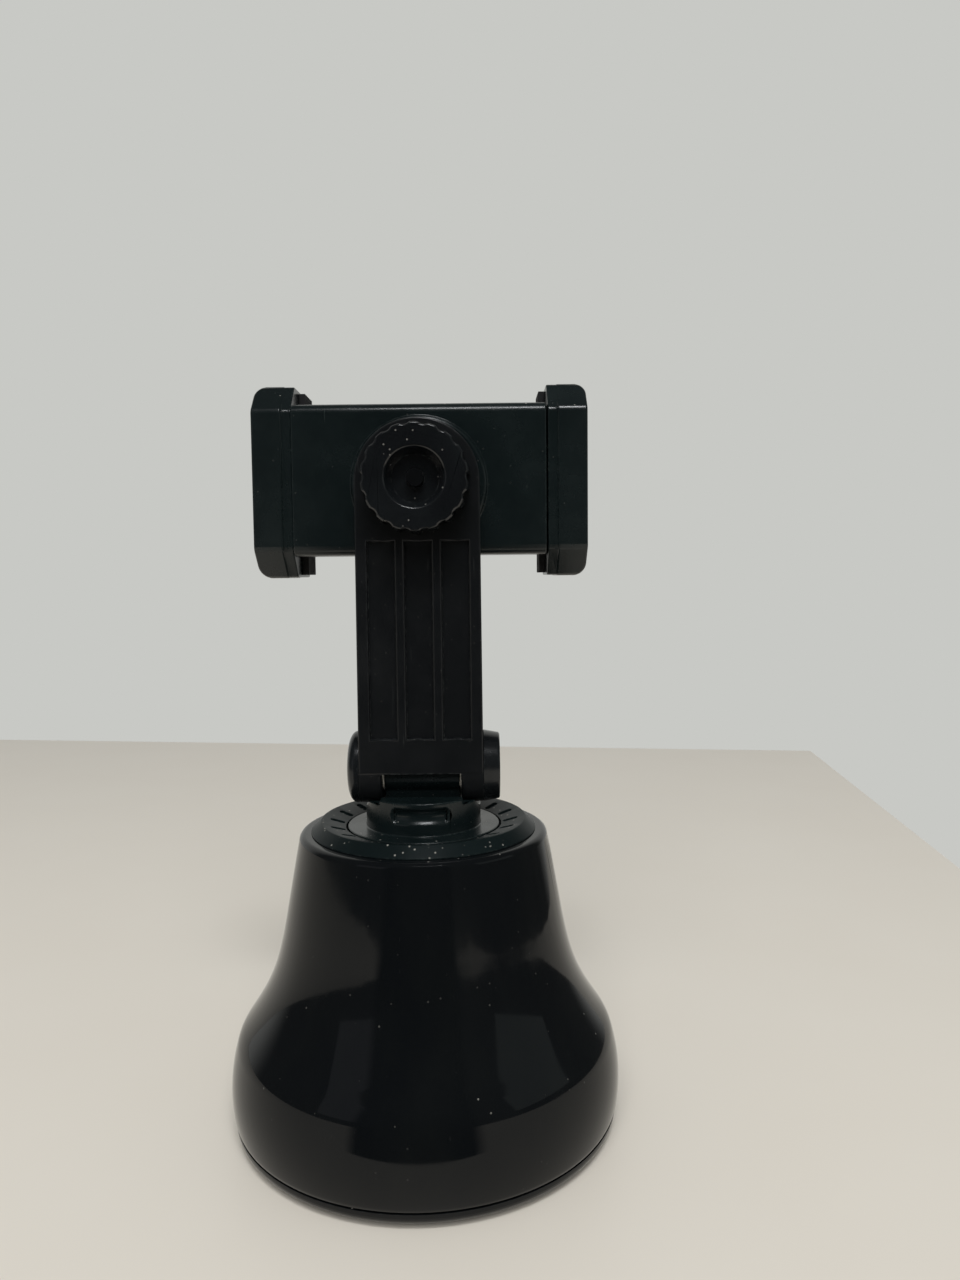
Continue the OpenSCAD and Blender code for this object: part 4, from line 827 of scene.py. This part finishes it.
class HOLDER_OT_stage(bpy.types.Operator):
    """Sets the table top, the pale room, the lamps and the camera at the photograph's angle"""

    bl_idname = "holder.stage"
    bl_label = "Stage"

    def lamp(self, name, place, target, size, watts, colour, mirrored=True):
        """A soft lamp that looks at a point, and that the gloss may or may not mirror."""
        settle()
        bpy.ops.object.light_add(type="AREA", location=place)
        lamp = bpy.context.object
        lamp.name = name
        lamp.data.shape = "RECTANGLE"
        lamp.data.size, lamp.data.size_y = size
        lamp.data.energy = watts
        lamp.data.color = linear(colour)[:3]
        lamp.visible_glossy = mirrored
        lamp.rotation_euler = (Vector(target) - Vector(place)).to_track_quat("-Z", "Y").to_euler()

    def execute(self, context):
        scene, c = context.scene, context.scene.holder_colours
        # The table top runs far to the left and front, where the bell's waist mirrors it, and ends on the right
        left, back, rows = -1.0, 0.53, [(0.16, 0.225), (-0.02, 0.4), (-1.0, 0.8)]
        y, right = rows[0][0], 0.256
        table = begin("table", bpy.ops.mesh.primitive_plane_add, size=1.0)
        bpy.ops.object.mode_set(mode="EDIT")
        bpy.ops.mesh.select_all(action="SELECT")
        bpy.ops.transform.resize(value=(right - left, back - y, 1), center_override=(0, 0, 0))
        bpy.ops.transform.translate(value=((left + right) / 2, (back + y) / 2, 0))
        pick(table, "EDGE", lambda m, ends: m.y * MM < y + 0.01)
        for next_y, next_right in rows:
            if next_y < y:
                bpy.ops.mesh.extrude_edges_move(TRANSFORM_OT_translate={"value": (0, next_y - y, 0)})
            bpy.ops.transform.resize(value=((next_right - left) / (right - left), 1, 1),
                                     center_override=(left, next_y, 0))
            y, right = next_y, next_right
        for side, move in ((-1, (0, 0.09, 0)), (1, (0.003, -0.075, 0))):
            pick(table, "VERT", lambda m, ends: m.y > 500 and m.x * side > 0)
            bpy.ops.transform.translate(value=move)
        bpy.ops.mesh.select_all(action="SELECT")
        bpy.ops.mesh.normals_make_consistent(inside=False)
        bpy.ops.object.mode_set(mode="OBJECT")
        if table.data.polygons[0].normal.z < 0:
            bpy.ops.object.mode_set(mode="EDIT")
            bpy.ops.mesh.flip_normals()
            bpy.ops.object.mode_set(mode="OBJECT")
        # Painted board: an eggshell sheen and a faint mottle, open from below so that the underside shows
        tree, shader, place = new_material("painted board, eggshell")
        fibre = add(tree, "ShaderNodeTexNoise", {"Scale": 1 / (60 * MM), "Detail": 3.0}, {"Vector": place})
        feed(tree, shader.inputs["Base Color"], blend(tree, fibre.outputs["Fac"], c.floor, linear("#d3cdc3")))
        shader.inputs["Roughness"].default_value = 0.45
        below = add(tree, "ShaderNodeNewGeometry").outputs["Backfacing"]
        clear = add(tree, "ShaderNodeBsdfTransparent")
        either = add(tree, "ShaderNodeMixShader", links={0: below, 1: shader.outputs[0], 2: clear.outputs[0]})
        tree.links.new(either.outputs[0], tree.nodes["Material Output"].inputs["Surface"])
        table.data.materials.append(bpy.data.materials["painted board, eggshell"])

        # A dark card before the lens, soft at its sides, that only the gloss sees: a painted dark reflection,
        # standing for shade on the camera's side, that gives the bell's dark middle
        card = begin("dark_card", bpy.ops.mesh.primitive_plane_add, size=1.0)
        bpy.ops.object.mode_set(mode="EDIT")
        bpy.ops.mesh.select_all(action="SELECT")
        bpy.ops.transform.resize(value=(0.16, 0.24, 1), center_override=(0, 0, 0))
        bpy.ops.object.mode_set(mode="OBJECT")
        card.location, card.rotation_euler = (-0.004, -0.1, 0.112), (math.radians(95), 0, 0)
        bpy.ops.object.transform_apply(location=True, rotation=True, scale=True)
        # The card's near-black is painted shade that the gloss mirrors
        tree, shader, place = new_material("painted dark reflection card")
        weave = add(tree, "ShaderNodeTexNoise", {"Scale": 1 / (2 * MM)}, {"Vector": place})
        tone = blend(tree, weave.outputs["Fac"], linear("#141416"), linear("#1c1c1e"))
        feed(tree, shader.inputs["Base Color"], tone)
        shader.inputs["Roughness"].default_value = 0.9
        across = add(tree, "ShaderNodeSeparateXYZ", links={"Vector": place})
        off = maths(tree, "ABSOLUTE", maths(tree, "ADD", across.outputs["X"], 0.004))
        cover = ramp(tree, off, 0.052, 0.038, interpolation_type="SMOOTHSTEP")
        feed(tree, shader.inputs["Alpha"], cover)
        card.data.materials.append(bpy.data.materials["painted dark reflection card"])
        card.visible_camera = card.visible_diffuse = card.visible_shadow = card.visible_transmission = False

        # The room: a pale wall all round for the eye, and one that falls dim on the camera's side in the gloss
        world = bpy.data.worlds.new("pale room")
        scene.world = world
        world.use_nodes = True
        tree = world.node_tree
        tree.nodes.clear()
        way = add(tree, "ShaderNodeTexCoord").outputs["Generated"]
        behind = add(tree, "ShaderNodeVectorMath", {1: (-0.2, 0.98, 0.0)}, {0: way}, operation="DOT_PRODUCT")
        fall = ramp(tree, behind.outputs["Value"], 0.4, 0.7, to=(0.1, 1.0), interpolation_type="SMOOTHSTEP")
        path = add(tree, "ShaderNodeLightPath").outputs
        direct = maths(tree, "MAXIMUM", path["Is Camera Ray"], path["Is Transmission Ray"])
        seen = maths(tree, "MAXIMUM", direct, path["Is Glossy Ray"])
        strength = maths(tree, "MAXIMUM", direct, fall)
        wall = add(tree, "ShaderNodeBackground", {"Color": c.wall}, {"Strength": strength})
        room = add(tree, "ShaderNodeBackground", {"Color": linear("#c9cac8"), "Strength": 0.55})
        mixed = add(tree, "ShaderNodeMixShader", links={0: seen, 1: room.outputs[0], 2: wall.outputs[0]})
        add(tree, "ShaderNodeOutputWorld", links={"Surface": mixed.outputs[0]})

        self.lamp("ceiling lamp", (0.12, -0.87, 1.5), (0.12, -0.87, 0), (0.5, 0.2), 10, "#fbfdff")
        self.lamp("front fill", (0, -1.6, 1.7), (0, 0, 0), (1.6, 1.6), 40, "#fffdfa", mirrored=False)
        self.lamp("left panel", (-0.48, -0.52, 0.29), (0, 0, 0.05), (0.38, 0.32), 0.08, "#f6f6ff")
        self.lamp("right panel", (0.66, -0.25, 0.29), (0, 0, 0.05), (0.5, 0.32), 0.14, "#eaf6f2")

        bpy.ops.object.camera_add(location=(0.0143, -0.2246, 0.1327),
                                  rotation=(math.radians(86), 0, 0))
        camera = bpy.context.object
        camera.name = "photo camera"
        camera.data.sensor_width = 36
        camera.data.lens = 36 * 924 / 1280
        camera.data.clip_start = 0.005
        camera.rotation_euler.rotate_axis("Z", math.radians(-0.6))
        scene.camera = camera
        scene.view_settings.view_transform = "Standard"
        return {"FINISHED"}


class HOLDER_PT_pieces(bpy.types.Panel):
    """Lists the holder's pieces in the sidebar"""

    bl_idname = "HOLDER_PT_pieces"
    bl_label = "Phone holder"
    bl_space_type = "VIEW_3D"
    bl_region_type = "UI"
    bl_category = "Holder"

    def draw(self, context):
        for group in (context.scene.holder_sizes, context.scene.holder_colours):
            for name in group.__annotations__:
                self.layout.prop(group, name)
        for operator in OPERATORS:
            self.layout.operator(operator.bl_idname)


GROUPS = (HolderSizes, HolderColours)
OPERATORS = (HOLDER_OT_finishes, HOLDER_OT_bell, HOLDER_OT_dial, HOLDER_OT_turntable, HOLDER_OT_arm,
             HOLDER_OT_caps, HOLDER_OT_housing, HOLDER_OT_jaws, HOLDER_OT_pads, HOLDER_OT_knob, HOLDER_OT_stage)
CLASSES = GROUPS + OPERATORS + (HOLDER_PT_pieces,)


def register():
    for cls in CLASSES:
        bpy.utils.register_class(cls)
    bpy.types.Scene.holder_sizes = bpy.props.PointerProperty(type=HolderSizes)
    bpy.types.Scene.holder_colours = bpy.props.PointerProperty(type=HolderColours)


def unregister():
    del bpy.types.Scene.holder_colours
    del bpy.types.Scene.holder_sizes
    for cls in reversed(CLASSES):
        bpy.utils.unregister_class(cls)


def main():
    register()
    for operator in OPERATORS:
        group, name = operator.bl_idname.split(".")
        getattr(getattr(bpy.ops, group), name)()


if __name__ == "__main__":
    main()
